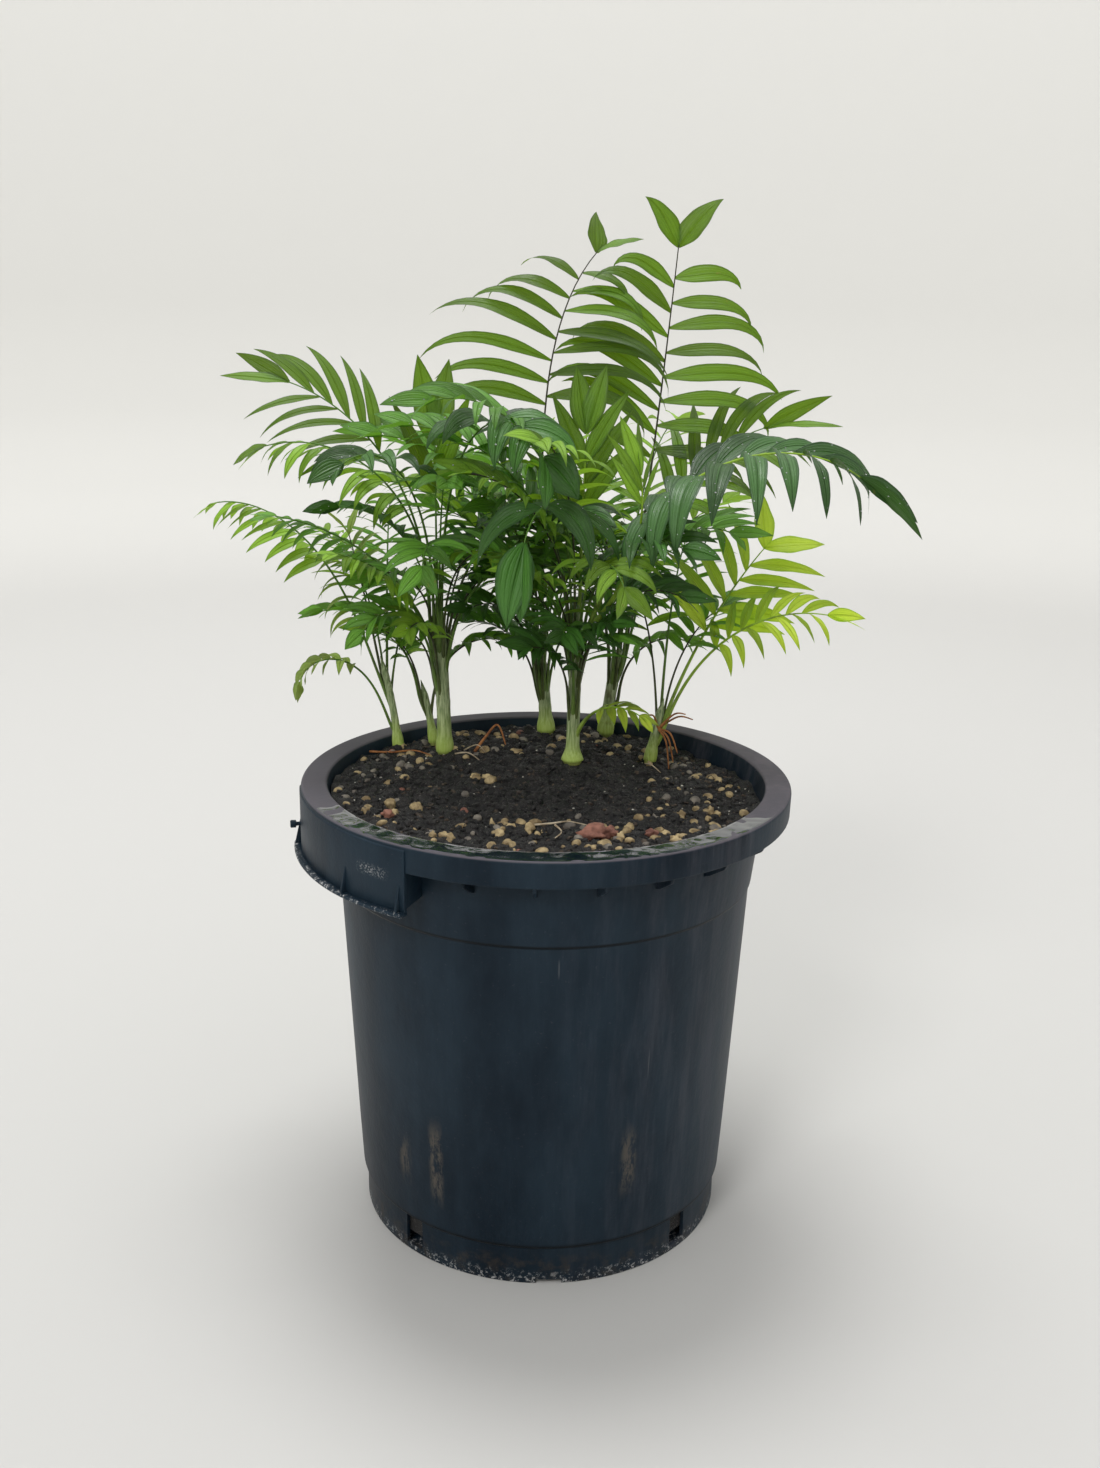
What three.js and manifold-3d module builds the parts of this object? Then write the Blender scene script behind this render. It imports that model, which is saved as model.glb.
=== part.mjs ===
// A young parlour palm, a clump of seven stems, growing in a 330 mm plastic nursery pot.
// Millimetres, +Z up. The origin is the middle of the pot's underside, which stands on the ground.
import * as THREE from "three";
import { mergeVertices } from "three/addons/utils/BufferGeometryUtils.js";
import Module from "manifold-3d";

// ---- Pot ------------------------------------------------------------------------------------
const POT_HEIGHT = 310;
const RIM_OUTER = 164.6;
const RIM_INNER = 147.2;
const RIM_THICK = 2.6;
const SKIRT_BOTTOM = 292.6;
const SKIRT_THICK = 2.2;
const STEP_HEIGHT = 245; // a small ledge runs round the wall here
const STEP_DEPTH = 1.3;
const WALL_UNDER_RIM = 146.4;
const WALL_AT_STEP = 139.7;
const WALL_AT_FOOT = 130.2;
const WALL_THICK = 2.6;
const FLOOR_THICK = 3;
const FOOT_TOP = 28;
const FOOT_RADIUS = 125.3;
const FLOOR_LIFT = 9; // the floor is raised inside the gutter that it drains into
const GUTTER_INNER = 100;
const CENTRE_PAD = 21;
const POT_SIDES = 48;

// ---- Drain holes: tall slots in the foot, and low notches between them -------------------------
const DRAIN_COUNT = 4;
const DRAIN_AZIMUTH = 48;
const DRAIN_WIDTH = 15;
const DRAIN_LOW = 5;
const DRAIN_HIGH = 26;
const NOTCH_WIDTH = 17;
const NOTCH_HEIGHT = 3.2;

// ---- Handles: a deeper stretch of skirt on each side, with a lip and ribs -----------------------
const HANDLE_AZIMUTHS = [187.5, 7.5];
const HANDLE_SWEEP = 52.5;
const HANDLE_BOTTOM = 267;
const HANDLE_PROUD = 0.9;
const LIP_REACH = 4.5;
const LIP_THICK = 2.6;
const RIB_ANGLES = [1.5, 35, 51];
const RIB_HEIGHT = 20;
const PEG_RADIUS = 2.6;
const PEG_HEIGHT = 284;

// ---- Soil ---------------------------------------------------------------------------------------
const SOIL_LEVEL = 303.5;
const SOIL_RINGS = 7;
const SEAT_DEPTH = 2; // each stem stands in a shallow seat in the soil

// ---- Clearance between two neighbouring solids -----------------------------------------------------
const CLEAR = 0.3;

// ---- Stems: place of the foot, lean at foot and top, height, radius at foot and neck ----------------
const STEMS = {
  left: { x: -109, y: 83, azimuth: 150, lean: [6, 18], height: 60, foot: 4.2, neck: 2.8 },
  front_left: { x: -74, y: 70, azimuth: 175, lean: [1, 4], height: 105, foot: 6.2, neck: 5.2 },
  side_shoot: { x: -84, y: 96, azimuth: 170, lean: [8, 14], height: 40, foot: 3.9, neck: 2.8 },
  back: { x: -1, y: 126, azimuth: 180, lean: [2, 8], height: 58, foot: 6.8, neck: 5 },
  centre: { x: 18, y: 40, azimuth: 0, lean: [0, 2], height: 108, foot: 8.2, neck: 4.7 },
  back_right: { x: 44, y: 128, azimuth: 0, lean: [5, 10], height: 62, foot: 6.2, neck: 4.7 },
  right: { x: 74, y: 59, azimuth: 20, lean: [8, 14], height: 38, foot: 4.6, neck: 3.3 },
};
const STEM_SIDES = 8;
const STEM_RINGS = 4;
const FLARE_HEIGHT = 9;
const SPEAR_HEIGHT = 8; // the unopened leaf at the top of a stem

// ---- Fronds ---------------------------------------------------------------------------------------
// A frond leaves its stem at the height `from`, heading for `azimuth`. Its midrib climbs at `rise`
// degrees and has turned to `fall` at its tip. `bend` says how late it turns, and `sweep` how far
// it swings sideways. The first `bare` share of it is stalk, of radius `stalk` at its foot. The
// leaflets stand in `pairs`, at `open` degrees to the midrib near the stalk and `close` at the
// tip, and the last pair at `fork`. `skew` turns the right ones back and the left ones on. They
// are lifted by `vee`, turned on their own axis by `feather`, and droop by `hang` degrees, `late`
// along their length. `roll` turns the whole blade about its midrib. `tip` and `narrow` are the
// length and width of the last leaflets against the largest, `leaf` and `width`.
const USUAL_FROND = {
  pairs: 10, bare: 0.48, bend: 1.4, sweep: 0, roll: 0, open: 66, close: 32, skew: 0, fork: 26,
  hang: 50, late: 1.6, vee: 14, feather: 28, tip: 0.75, narrow: 1, stalk: 1.5,
};
const FRONDS = [
  { stem: "back_right", from: 60, azimuth: 20, rise: 83, fall: 85, length: 297, leaf: 90,
    width: 10.5, pairs: 9, roll: -70, open: 72, close: 66, skew: 13, fork: 32, hang: 96, late: 3.2,
    vee: 4, feather: 30, tip: 0.6 },
  { stem: "back", from: 55, azimuth: 75, rise: 94, fall: 43, length: 308, leaf: 98, width: 9.5,
    pairs: 8, bare: 0.6, bend: 3.1, sweep: -40, roll: -35, open: 80, close: 74, fork: 36, hang: 90,
    late: 2.4, vee: 12, feather: 30, tip: 0.4 },
  { stem: "front_left", from: 103, azimuth: 166, rise: 88, fall: 16, length: 200, leaf: 70,
    width: 9.5, pairs: 5, bare: 0.58, bend: 1.3, roll: 46, open: 42, close: 30, skew: -22, fork: 14,
    hang: 44, feather: 8, tip: 0.9 },
  { stem: "front_left", from: 95, azimuth: 200, rise: 90, fall: -15, length: 195, leaf: 46,
    width: 7, bare: 0.42, bend: 1.5, sweep: -5, roll: 8, skew: -4, hang: 80, vee: 4 },
  { stem: "left", from: 48, azimuth: 184, rise: 71, fall: -11, length: 190, leaf: 36, width: 5.5,
    pairs: 11, bare: 0.5, bend: 2.3, sweep: -20, roll: 4, skew: -4, hang: 90, vee: 4 },
  { stem: "front_left", from: 80, azimuth: 192, rise: 76, fall: 10, length: 148, leaf: 36,
    width: 7, bare: 0.42, bend: 0.9, roll: 6, skew: -4, vee: 6 },
  { stem: "left", from: 52, azimuth: 144, rise: 76, fall: 70, length: 105, leaf: 46, width: 5,
    pairs: 9, bare: 0.35, roll: 20, hang: 110, feather: 60 },
  { stem: "left", from: 20, azimuth: 200, rise: 70, fall: -80, length: 98, leaf: 24, width: 6,
    pairs: 7, bare: 0.5, bend: 2.2, hang: 90 },
  { stem: "front_left", from: 62, azimuth: 215, rise: 80, fall: -60, length: 86, leaf: 32,
    width: 7, pairs: 6, bare: 0.4, bend: 1.8, roll: 20 },
  { stem: "front_left", from: 100, azimuth: 296, rise: 88, fall: -50, length: 236, leaf: 60,
    width: 15, pairs: 6, bare: 0.5, bend: 1.9, sweep: 10, open: 75, hang: 75 },
  { stem: "front_left", from: 104, azimuth: 100, rise: 88, fall: 80, length: 115, leaf: 70,
    width: 13, pairs: 2, bare: 0.66, open: 20, close: 16, fork: 10, hang: 10, feather: 0, tip: 1 },
  { stem: "front_left", from: 98, azimuth: 244, rise: 88, fall: -20, length: 190, leaf: 48,
    width: 12, pairs: 6, bare: 0.52, bend: 1.6, fork: 20, hang: 75 },
  { stem: "front_left", from: 74, azimuth: 335, rise: 78, fall: -15, length: 128, leaf: 44,
    width: 6.5, pairs: 8, bare: 0.32, hang: 50 },
  { stem: "front_left", from: 86, azimuth: 25, rise: 80, fall: 0, length: 140, leaf: 44,
    width: 6.5, pairs: 8, bare: 0.32, hang: 45 },
  { stem: "centre", from: 96, azimuth: 350, rise: 70, fall: -34, length: 245, leaf: 76,
    width: 19, pairs: 8, bare: 0.42, bend: 1.7, roll: -6, open: 104, close: 40, skew: 20, fork: 16,
    hang: 105, late: 1.5, tip: 0.85, narrow: 0.5 },
  { stem: "centre", from: 106, azimuth: 80, rise: 87, fall: 76, length: 125, leaf: 62, width: 13,
    pairs: 4, bare: 0.5, open: 34, close: 18, fork: 12, hang: 16, feather: 6, tip: 1 },
  { stem: "centre", from: 55, azimuth: 262, rise: 84, fall: -15, length: 92, leaf: 46, width: 6.5,
    pairs: 8, bare: 0.34, roll: 20, hang: 50 },
  { stem: "centre", from: 104, azimuth: 249, rise: 88, fall: -60, length: 158, leaf: 62,
    width: 20, pairs: 3, bare: 0.5, bend: 1.7, open: 74, close: 44, fork: 20, hang: 105, late: 0.9,
    tip: 1, stalk: 1.2 },
  { stem: "centre", from: 102, azimuth: 219, rise: 88, fall: -10, length: 218, leaf: 58, width: 8,
    pairs: 9, bare: 0.42, bend: 1.8, roll: 15, hang: 70, stalk: 1.2 },
  { stem: "centre", from: 98, azimuth: 316, rise: 80, fall: -20, length: 124, leaf: 48, width: 8,
    pairs: 8, bare: 0.36, roll: -15, hang: 60 },
  { stem: "centre", from: 98, azimuth: 184, rise: 86, fall: 5, length: 190, leaf: 52, width: 7,
    pairs: 9, bare: 0.4, roll: 20, hang: 55 },
  { stem: "centre", from: 78, azimuth: 335, rise: 76, fall: -18, length: 96, leaf: 44,
    width: 6.5, pairs: 8, bare: 0.32, roll: -15, hang: 60 },
  { stem: "centre", from: 84, azimuth: 205, rise: 78, fall: -12, length: 125, leaf: 48,
    width: 6.5, pairs: 8, bare: 0.32, roll: 15, hang: 48 },
  { stem: "back_right", from: 58, azimuth: -8, rise: 79, fall: 18, length: 208, leaf: 70,
    width: 8, pairs: 7, bare: 0.55, bend: 2.4, roll: -50, open: 44, close: 26, skew: 22, fork: 10,
    hang: 55, late: 1.2, tip: 1 },
  { stem: "back_right", from: 62, azimuth: 71, rise: 80, fall: 5, length: 235, leaf: 60, width: 8,
    pairs: 8, bare: 0.4 },
  { stem: "back_right", from: 60, azimuth: 112, rise: 82, fall: 0, length: 235, leaf: 60,
    width: 8, pairs: 8, bare: 0.4 },
  { stem: "back_right", from: 60, azimuth: 312, rise: 84, fall: -10, length: 165, leaf: 52,
    width: 7, bare: 0.38, bend: 1.5, roll: -15, hang: 50 },
  { stem: "back_right", from: 30, azimuth: 350, rise: 84, fall: -15, length: 76, leaf: 34,
    width: 6, pairs: 6, bare: 0.42, hang: 55 },
  { stem: "back", from: 57, azimuth: 205, rise: 86, fall: 5, length: 225, leaf: 54, width: 7.5,
    bare: 0.4, bend: 1.6, roll: 20, hang: 55 },
  { stem: "back", from: 58, azimuth: 158, rise: 82, fall: 5, length: 225, leaf: 58, width: 8,
    pairs: 9, bare: 0.4 },
  { stem: "back", from: 56, azimuth: 118, rise: 80, fall: -10, length: 230, leaf: 60, width: 8,
    pairs: 9, bare: 0.4 },
  { stem: "back", from: 50, azimuth: 285, rise: 86, fall: -10, length: 190, leaf: 52, width: 8,
    pairs: 9, bare: 0.4, bend: 1.7, hang: 60 },
  { stem: "back", from: 42, azimuth: 232, rise: 78, fall: -10, length: 112, leaf: 46, width: 6.5,
    pairs: 8, bare: 0.32, roll: 15, hang: 48 },
  { stem: "back", from: 50, azimuth: 40, rise: 80, fall: 0, length: 150, leaf: 48, width: 7,
    pairs: 8, bare: 0.35, hang: 50 },
  { stem: "right", from: 30, azimuth: 21, rise: 70, fall: 47, length: 142, leaf: 58, width: 12,
    pairs: 6, bare: 0.46, bend: 1, roll: -62, open: 62, close: 46, fork: 44, hang: 26, tip: 0.95 },
  { stem: "right", from: 20, azimuth: 350, rise: 73, fall: -8, length: 158, leaf: 44, width: 8,
    pairs: 8, bare: 0.45, roll: -30, open: 56, skew: 20, fork: 14, hang: 50, tip: 0.9 },
  { stem: "right", from: 34, azimuth: 75, rise: 80, fall: 20, length: 150, leaf: 46, width: 7,
    pairs: 7 },
  { stem: "left", from: 50, azimuth: 94, rise: 80, fall: 5, length: 165, leaf: 46, width: 7,
    pairs: 8 },
  { stem: "side_shoot", from: 38, azimuth: 195, rise: 80, fall: -10, length: 105, leaf: 34,
    width: 6.5, pairs: 7, bare: 0.4 },
  { stem: "side_shoot", from: 30, azimuth: 345, rise: 82, fall: -20, length: 90, leaf: 32,
    width: 6.5, pairs: 6, bare: 0.45 },
  { stem: "centre", from: 30, azimuth: 318, rise: 58, fall: -30, length: 54, leaf: 25, width: 6,
    pairs: 5, bare: 0.36, bend: 1.2, sweep: 24, roll: -10, hang: 50, vee: 0, feather: 0 },
  { stem: "back", from: 56, azimuth: 252, rise: 88, fall: 0, length: 175, leaf: 50, width: 8,
    pairs: 6, bare: 0.4, bend: 1.6, hang: 60 },
  { stem: "back_right", from: 56, azimuth: 245, rise: 88, fall: 0, length: 160, leaf: 50,
    width: 8, pairs: 6, bare: 0.4, bend: 1.6, hang: 60 },
  { stem: "centre", from: 94, azimuth: 288, rise: 84, fall: -40, length: 120, leaf: 48, width: 8,
    pairs: 6, bare: 0.36, bend: 1.3, hang: 60 },
  { stem: "front_left", from: 92, azimuth: 268, rise: 86, fall: -35, length: 130, leaf: 48,
    width: 8, pairs: 6, bare: 0.36, bend: 1.3, hang: 60 },
];
const MIDRIB_STEPS = 60; // the steps that a midrib's curve is summed in
const MIDRIB_RINGS = 8;
const MIDRIB_TIP_RADIUS = 0.6;
const LEAFLET_STEPS = 8;
const LONG_LEAFLET = 60; // a longer one is bent twice, a shorter one once
const LEAFLET_THICK = 1.1;
const LEAFLET_THINNEST = 1 / 75; // of its length
const OTHER_LIFTS = [0, 13, -13, 26, -26]; // degrees, tried in turn where a leaflet would touch

// ---- Colours ----------------------------------------------------------------------------------------
const POT_COLOUR = new THREE.MeshStandardMaterial({ color: 0x232a32, roughness: 0.42, metalness: 0 });
const SOIL_COLOUR = new THREE.MeshStandardMaterial({ color: 0x2b241f, roughness: 0.95, metalness: 0 });
const STEM_COLOUR = new THREE.MeshStandardMaterial({ color: 0x7c9440, roughness: 0.5, metalness: 0 });
const FROND_COLOUR = new THREE.MeshStandardMaterial({ color: 0x3f6f22, roughness: 0.45, metalness: 0 });

const wasm = await Module();
wasm.setup();

// ---- Shapes and solids ----------------------------------------------------------------------------
const radians = THREE.MathUtils.degToRad;
const vector = (x, y, z) => new THREE.Vector3(x, y, z);

function solidOf(geometry) {
  const bare = new THREE.BufferGeometry();
  bare.setAttribute("position", geometry.getAttribute("position"));
  if (geometry.index) bare.setIndex(geometry.index);
  const merged = mergeVertices(bare, 1e-3);
  const corners = merged.index.array;
  const triangles = [];
  for (let i = 0; i < corners.length; i += 3) {
    const [a, b, c] = corners.slice(i, i + 3);
    if (a !== b && b !== c && c !== a) triangles.push(a, b, c);
  }
  return new wasm.Manifold(
    new wasm.Mesh({
      numProp: 3,
      vertProperties: merged.attributes.position.array,
      triVerts: new Uint32Array(triangles),
    }),
  );
}

function meshOf(name, solid, material) {
  const { vertProperties, triVerts } = solid.getMesh();
  const geometry = new THREE.BufferGeometry();
  geometry.setAttribute("position", new THREE.BufferAttribute(new Float32Array(vertProperties), 3));
  geometry.setIndex(new THREE.BufferAttribute(new Uint32Array(triVerts), 1));
  geometry.computeVertexNormals();
  const mesh = new THREE.Mesh(geometry, material);
  mesh.name = name;
  return mesh;
}

const union = (solids) => solids.reduce((whole, solid) => whole.add(solid));

// A body turned about Z from an outline of [radius, height], bottom middle to top middle.
function turned(outline, sides) {
  const profile = outline.map(([radius, height]) => new THREE.Vector2(radius, height));
  return new THREE.LatheGeometry(profile, sides).rotateX(Math.PI / 2);
}

// A curved bar: part of a ring between two radii, two azimuths and two heights.
function ringPart(inner, outer, azimuth, sweep, low, high) {
  const steps = Math.round((sweep * POT_SIDES) / 360);
  const corner = (radius, i) => {
    const angle = radians(azimuth + (sweep * i) / steps);
    return new THREE.Vector2(radius * Math.cos(angle), radius * Math.sin(angle));
  };
  const outline = [];
  for (let i = 0; i <= steps; i++) outline.push(corner(outer, i));
  for (let i = steps; i >= 0; i--) outline.push(corner(inner, i));
  const options = { depth: high - low, bevelEnabled: false };
  return new THREE.ExtrudeGeometry(new THREE.Shape(outline), options).translate(0, 0, low);
}

// A flat plate standing on a radius of the pot, from an outline of [radius, height].
function radialPlate(outline, thickness, azimuth) {
  const shape = new THREE.Shape(outline.map(([radius, height]) => new THREE.Vector2(radius, height)));
  const plate = new THREE.ExtrudeGeometry(shape, { depth: thickness, bevelEnabled: false });
  return plate.rotateX(Math.PI / 2).translate(0, thickness / 2, 0).rotateZ(radians(azimuth));
}

function radialBlock(width, inner, outer, low, high, azimuth) {
  const block = new THREE.BoxGeometry(outer - inner, width, high - low);
  return block.translate((inner + outer) / 2, 0, (low + high) / 2).rotateZ(radians(azimuth));
}

// A closed skin over rings of points that all have the same number of corners. Each end closes
// on a point, or flat across its last ring where no point is given.
function skinned(rings, startPoint, endPoint) {
  const sides = rings[0].length;
  const points = rings.flat();
  const faces = [];
  for (let ring = 0; ring + 1 < rings.length; ring++) {
    for (let side = 0; side < sides; side++) {
      const a = ring * sides + side;
      const b = ring * sides + ((side + 1) % sides);
      faces.push(a, b, a + sides, b, b + sides, a + sides);
    }
  }
  const last = (rings.length - 1) * sides;
  const close = (first, apex, turn) => {
    if (apex) points.push(apex);
    const hub = apex ? points.length - 1 : first;
    for (let side = apex ? 0 : 1; side < (apex ? sides : sides - 1); side++) {
      const a = first + side;
      const b = first + ((side + 1) % sides);
      faces.push(hub, ...(turn ? [b, a] : [a, b]));
    }
  };
  close(0, startPoint, true);
  close(last, endPoint, false);
  const geometry = new THREE.BufferGeometry().setFromPoints(points);
  geometry.setIndex(faces);
  return geometry;
}

// ---- Pot -------------------------------------------------------------------------------------------
function potWall() {
  const rimUnder = POT_HEIGHT - RIM_THICK;
  const skirtInner = RIM_OUTER - SKIRT_THICK;
  const outside = [
    [0, 0],
    [CENTRE_PAD, 0],
    [CENTRE_PAD + 4, FLOOR_LIFT],
    [GUTTER_INNER - 4, FLOOR_LIFT],
    [GUTTER_INNER, 0],
    [FOOT_RADIUS, 0],
    [FOOT_RADIUS, FOOT_TOP - 1],
    [FOOT_RADIUS + 2.9, FOOT_TOP + 0.5],
    [WALL_AT_FOOT, FOOT_TOP + 34],
    [WALL_AT_STEP, STEP_HEIGHT - 0.7],
    [WALL_AT_STEP + STEP_DEPTH, STEP_HEIGHT + 0.7],
    [WALL_UNDER_RIM, SKIRT_BOTTOM],
    [RIM_INNER + WALL_THICK, rimUnder],
    [skirtInner, rimUnder],
    [skirtInner, SKIRT_BOTTOM],
    [RIM_OUTER - 0.4, SKIRT_BOTTOM],
    [RIM_OUTER, POT_HEIGHT - 1.6],
    [RIM_OUTER - 1.2, POT_HEIGHT],
    [RIM_INNER + 1, POT_HEIGHT],
    [RIM_INNER, POT_HEIGHT - 1],
  ];
  return solidOf(turned([...outside, ...wallInside().reverse()], POT_SIDES));
}

// The inside of the pot: its floor from the middle out, and its wall up to just under the rim.
function wallInside() {
  return [
    [0, FLOOR_THICK],
    [CENTRE_PAD - 1, FLOOR_THICK],
    [CENTRE_PAD + 3, FLOOR_LIFT + FLOOR_THICK],
    [GUTTER_INNER - 3, FLOOR_LIFT + FLOOR_THICK],
    [GUTTER_INNER + 1.5, FLOOR_THICK],
    [FOOT_RADIUS - WALL_THICK, FLOOR_THICK],
    ...wallAgainstSoil(),
  ];
}

function wallAgainstSoil() {
  return [
    [FOOT_RADIUS - WALL_THICK, FOOT_TOP + 1],
    [WALL_AT_FOOT - WALL_THICK, FOOT_TOP + 34],
    [WALL_AT_STEP - WALL_THICK, STEP_HEIGHT],
    [WALL_UNDER_RIM - WALL_THICK, SKIRT_BOTTOM],
  ];
}

function handle(azimuth) {
  const skin = RIM_OUTER + HANDLE_PROUD;
  const back = RIM_OUTER - SKIRT_THICK + 0.5;
  const lipOuter = skin + LIP_REACH;
  const wallHold = WALL_UNDER_RIM - WALL_THICK / 2 - 1.5;
  const lipUnder = HANDLE_BOTTOM - LIP_THICK / 2;
  const panel = ringPart(back, skin, azimuth, HANDLE_SWEEP, HANDLE_BOTTOM, POT_HEIGHT - 2.4);
  const lip = ringPart(
    back - 0.4, lipOuter, azimuth, HANDLE_SWEEP, lipUnder, lipUnder + LIP_THICK,
  );
  const ribOutline = [
    [back + 0.4, HANDLE_BOTTOM],
    [lipOuter - 0.6, HANDLE_BOTTOM],
    [lipOuter - 1, HANDLE_BOTTOM + 3],
    [skin - 0.4, HANDLE_BOTTOM + RIB_HEIGHT],
    [back + 0.4, HANDLE_BOTTOM + RIB_HEIGHT],
  ];
  const ribs = RIB_ANGLES.map((angle) => solidOf(radialPlate(ribOutline, 1.8, azimuth + angle)));
  const cheekOutline = [
    [wallHold, HANDLE_BOTTOM + 4],
    [back + 1, HANDLE_BOTTOM + 0.6],
    [back + 1, POT_HEIGHT - RIM_THICK + 1],
    [wallHold + 2.5, POT_HEIGHT - RIM_THICK + 1],
  ];
  const cheeks = [1.2, HANDLE_SWEEP - 1.2].map((angle) => {
    return solidOf(radialPlate(cheekOutline, 2, azimuth + angle));
  });
  return union([solidOf(panel), solidOf(lip), ...ribs, ...cheeks]);
}

// The stub of a snapped carrying tie, at the left end of the first handle.
function peg() {
  const stalk = new THREE.CylinderGeometry(PEG_RADIUS * 0.55, PEG_RADIUS * 0.55, 6, 8);
  const head = new THREE.CylinderGeometry(PEG_RADIUS, PEG_RADIUS, 4, 8);
  const placed = (geometry, reach) => {
    const place = geometry.rotateZ(Math.PI / 2).translate(reach, 0, PEG_HEIGHT);
    return solidOf(place.rotateZ(radians(HANDLE_AZIMUTHS[0] + 4)));
  };
  return placed(stalk, RIM_OUTER + 2).add(placed(head, RIM_OUTER + 5.5));
}

function pot() {
  let body = union([potWall(), ...HANDLE_AZIMUTHS.map(handle), peg()]);
  for (let i = 0; i < DRAIN_COUNT; i++) {
    const azimuth = DRAIN_AZIMUTH + (i * 360) / DRAIN_COUNT;
    const between = azimuth + 180 / DRAIN_COUNT;
    const slot = radialBlock(
      DRAIN_WIDTH, FOOT_RADIUS - WALL_THICK - 2, FOOT_RADIUS + 4, DRAIN_LOW, DRAIN_HIGH, azimuth,
    );
    const notch = radialBlock(
      NOTCH_WIDTH, GUTTER_INNER + 8, FOOT_RADIUS + 2, -1, NOTCH_HEIGHT, between,
    );
    body = body.subtract(solidOf(slot)).subtract(solidOf(notch));
  }
  return body;
}

// ---- Soil -------------------------------------------------------------------------------------------
// Height of the soil: lower towards the right, heaped a little round the middle stem, uneven.
function soilHeight(x, y) {
  const slope = 6.5 * THREE.MathUtils.smoothstep(x, 30, 135);
  const heap = 4 * Math.exp(-((x - 18) ** 2 + (y - 40) ** 2) / 50 ** 2);
  const uneven = 1.3 * Math.sin(x / 17 + 1.3) * Math.sin(y / 19 + 0.4);
  return SOIL_LEVEL - slope + heap + uneven;
}

// The soil lies on the raised floor and bridges the gutter.
function soil() {
  const bed = FLOOR_LIFT + FLOOR_THICK + CLEAR;
  const side = wallAgainstSoil().map(([radius, height]) => [radius - CLEAR, height]);
  const edge = RIM_INNER - 3;
  const outline = [[0, bed], [side[0][0], bed], ...side];
  for (let ring = 0; ring <= SOIL_RINGS; ring++) {
    outline.push([edge * (1 - ring / SOIL_RINGS), SOIL_LEVEL]);
  }
  const geometry = turned(outline, POT_SIDES / 2);
  const position = geometry.getAttribute("position");
  for (let i = 0; i < position.count; i++) {
    const height = soilHeight(position.getX(i), position.getY(i));
    if (Math.abs(position.getZ(i) - SOIL_LEVEL) < 0.01) position.setZ(i, height);
  }
  let body = solidOf(geometry);
  Object.values(STEMS).forEach((stem) => {
    const seat = new THREE.CylinderGeometry(stem.foot + 0.7, stem.foot + 0.7, 30, STEM_SIDES);
    const floor = soilHeight(stem.x, stem.y) - SEAT_DEPTH;
    seat.rotateX(Math.PI / 2).translate(stem.x, stem.y, floor + 15);
    body = body.subtract(solidOf(seat));
  });
  return body;
}

// ---- Stems -------------------------------------------------------------------------------------------
function heading(azimuth, rise) {
  const [a, e] = [radians(azimuth), radians(rise)];
  return vector(Math.cos(a) * Math.cos(e), Math.sin(a) * Math.cos(e), Math.sin(e));
}

// The point on a stem's centre line at a height along it above the soil.
function stemPoint(stem, height) {
  const point = vector(stem.x, stem.y, SOIL_LEVEL);
  const steps = 40;
  for (let i = 0; i < steps; i++) {
    const share = (((i + 0.5) / steps) * height) / stem.height;
    const lean = stem.lean[0] + (stem.lean[1] - stem.lean[0]) * share;
    point.addScaledVector(heading(stem.azimuth, 90 - lean), height / steps);
  }
  return point;
}

function stemRadius(stem, height) {
  const flare = (stem.foot - stem.neck) * Math.exp(-((Math.max(height, 0) / FLARE_HEIGHT) ** 2));
  return stem.neck * (1 - (0.12 * height) / stem.height) + flare;
}

function stemSolid(stem) {
  const ringAt = (point, radius) => {
    return Array.from({ length: STEM_SIDES }, (_, side) => {
      const angle = (side * 2 * Math.PI) / STEM_SIDES;
      return vector(point.x + radius * Math.cos(angle), point.y + radius * Math.sin(angle), point.z);
    });
  };
  const foot = vector(stem.x, stem.y, soilHeight(stem.x, stem.y) - SEAT_DEPTH + CLEAR);
  const rings = [ringAt(foot, stem.foot)];
  for (let i = 1; i <= STEM_RINGS; i++) {
    const height = stem.height * (i / STEM_RINGS) ** 1.5;
    rings.push(ringAt(stemPoint(stem, height), stemRadius(stem, height)));
  }
  const tip = stemPoint(stem, stem.height + SPEAR_HEIGHT);
  return solidOf(skinned(rings, null, tip));
}

// ---- Fronds: the rule ------------------------------------------------------------------------------------
const fraction = (value) => value - Math.floor(value);
const chance = (seed, i, k) => fraction(Math.sin(seed * 12.9898 + i * 78.233 + k * 37.719) * 43758.5453);

// The middle line of a frond's stalk and midrib, in equal steps from its foot beside the stem.
function midribLine(frond) {
  const stem = STEMS[frond.stem];
  const away = stemRadius(stem, frond.from) + frond.stalk + CLEAR;
  const point = stemPoint(stem, frond.from).addScaledVector(heading(frond.azimuth, 0), away);
  const line = [point.clone()];
  for (let i = 0; i < MIDRIB_STEPS; i++) {
    const { along } = midribFrame(frond, (i + 0.5) / MIDRIB_STEPS);
    line.push(point.addScaledVector(along, frond.length / MIDRIB_STEPS).clone());
  }
  return line;
}

// The directions along, to the right side of, and up from the blade at a share of its length.
function midribFrame(frond, share) {
  const rise = frond.rise + (frond.fall - frond.rise) * share ** frond.bend;
  const azimuth = frond.azimuth + frond.sweep * share;
  const along = heading(azimuth, rise);
  const level = heading(azimuth - 90, 0);
  const above = level.clone().cross(along);
  const roll = radians(frond.roll);
  const right = level.clone().multiplyScalar(Math.cos(roll)).addScaledVector(above, Math.sin(roll));
  const up = above.multiplyScalar(Math.cos(roll)).addScaledVector(level, -Math.sin(roll));
  return { along, right, up };
}

function pointOn(line, share) {
  const place = share * (line.length - 1);
  const i = Math.min(Math.floor(place), line.length - 2);
  return line[i].clone().lerp(line[i + 1], place - i);
}

// The midrib is built in straight stretches between these points, and its leaflets start on them.
function stretches(line) {
  return Array.from({ length: MIDRIB_RINGS + 1 }, (_, i) => pointOn(line, i / MIDRIB_RINGS));
}

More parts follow.
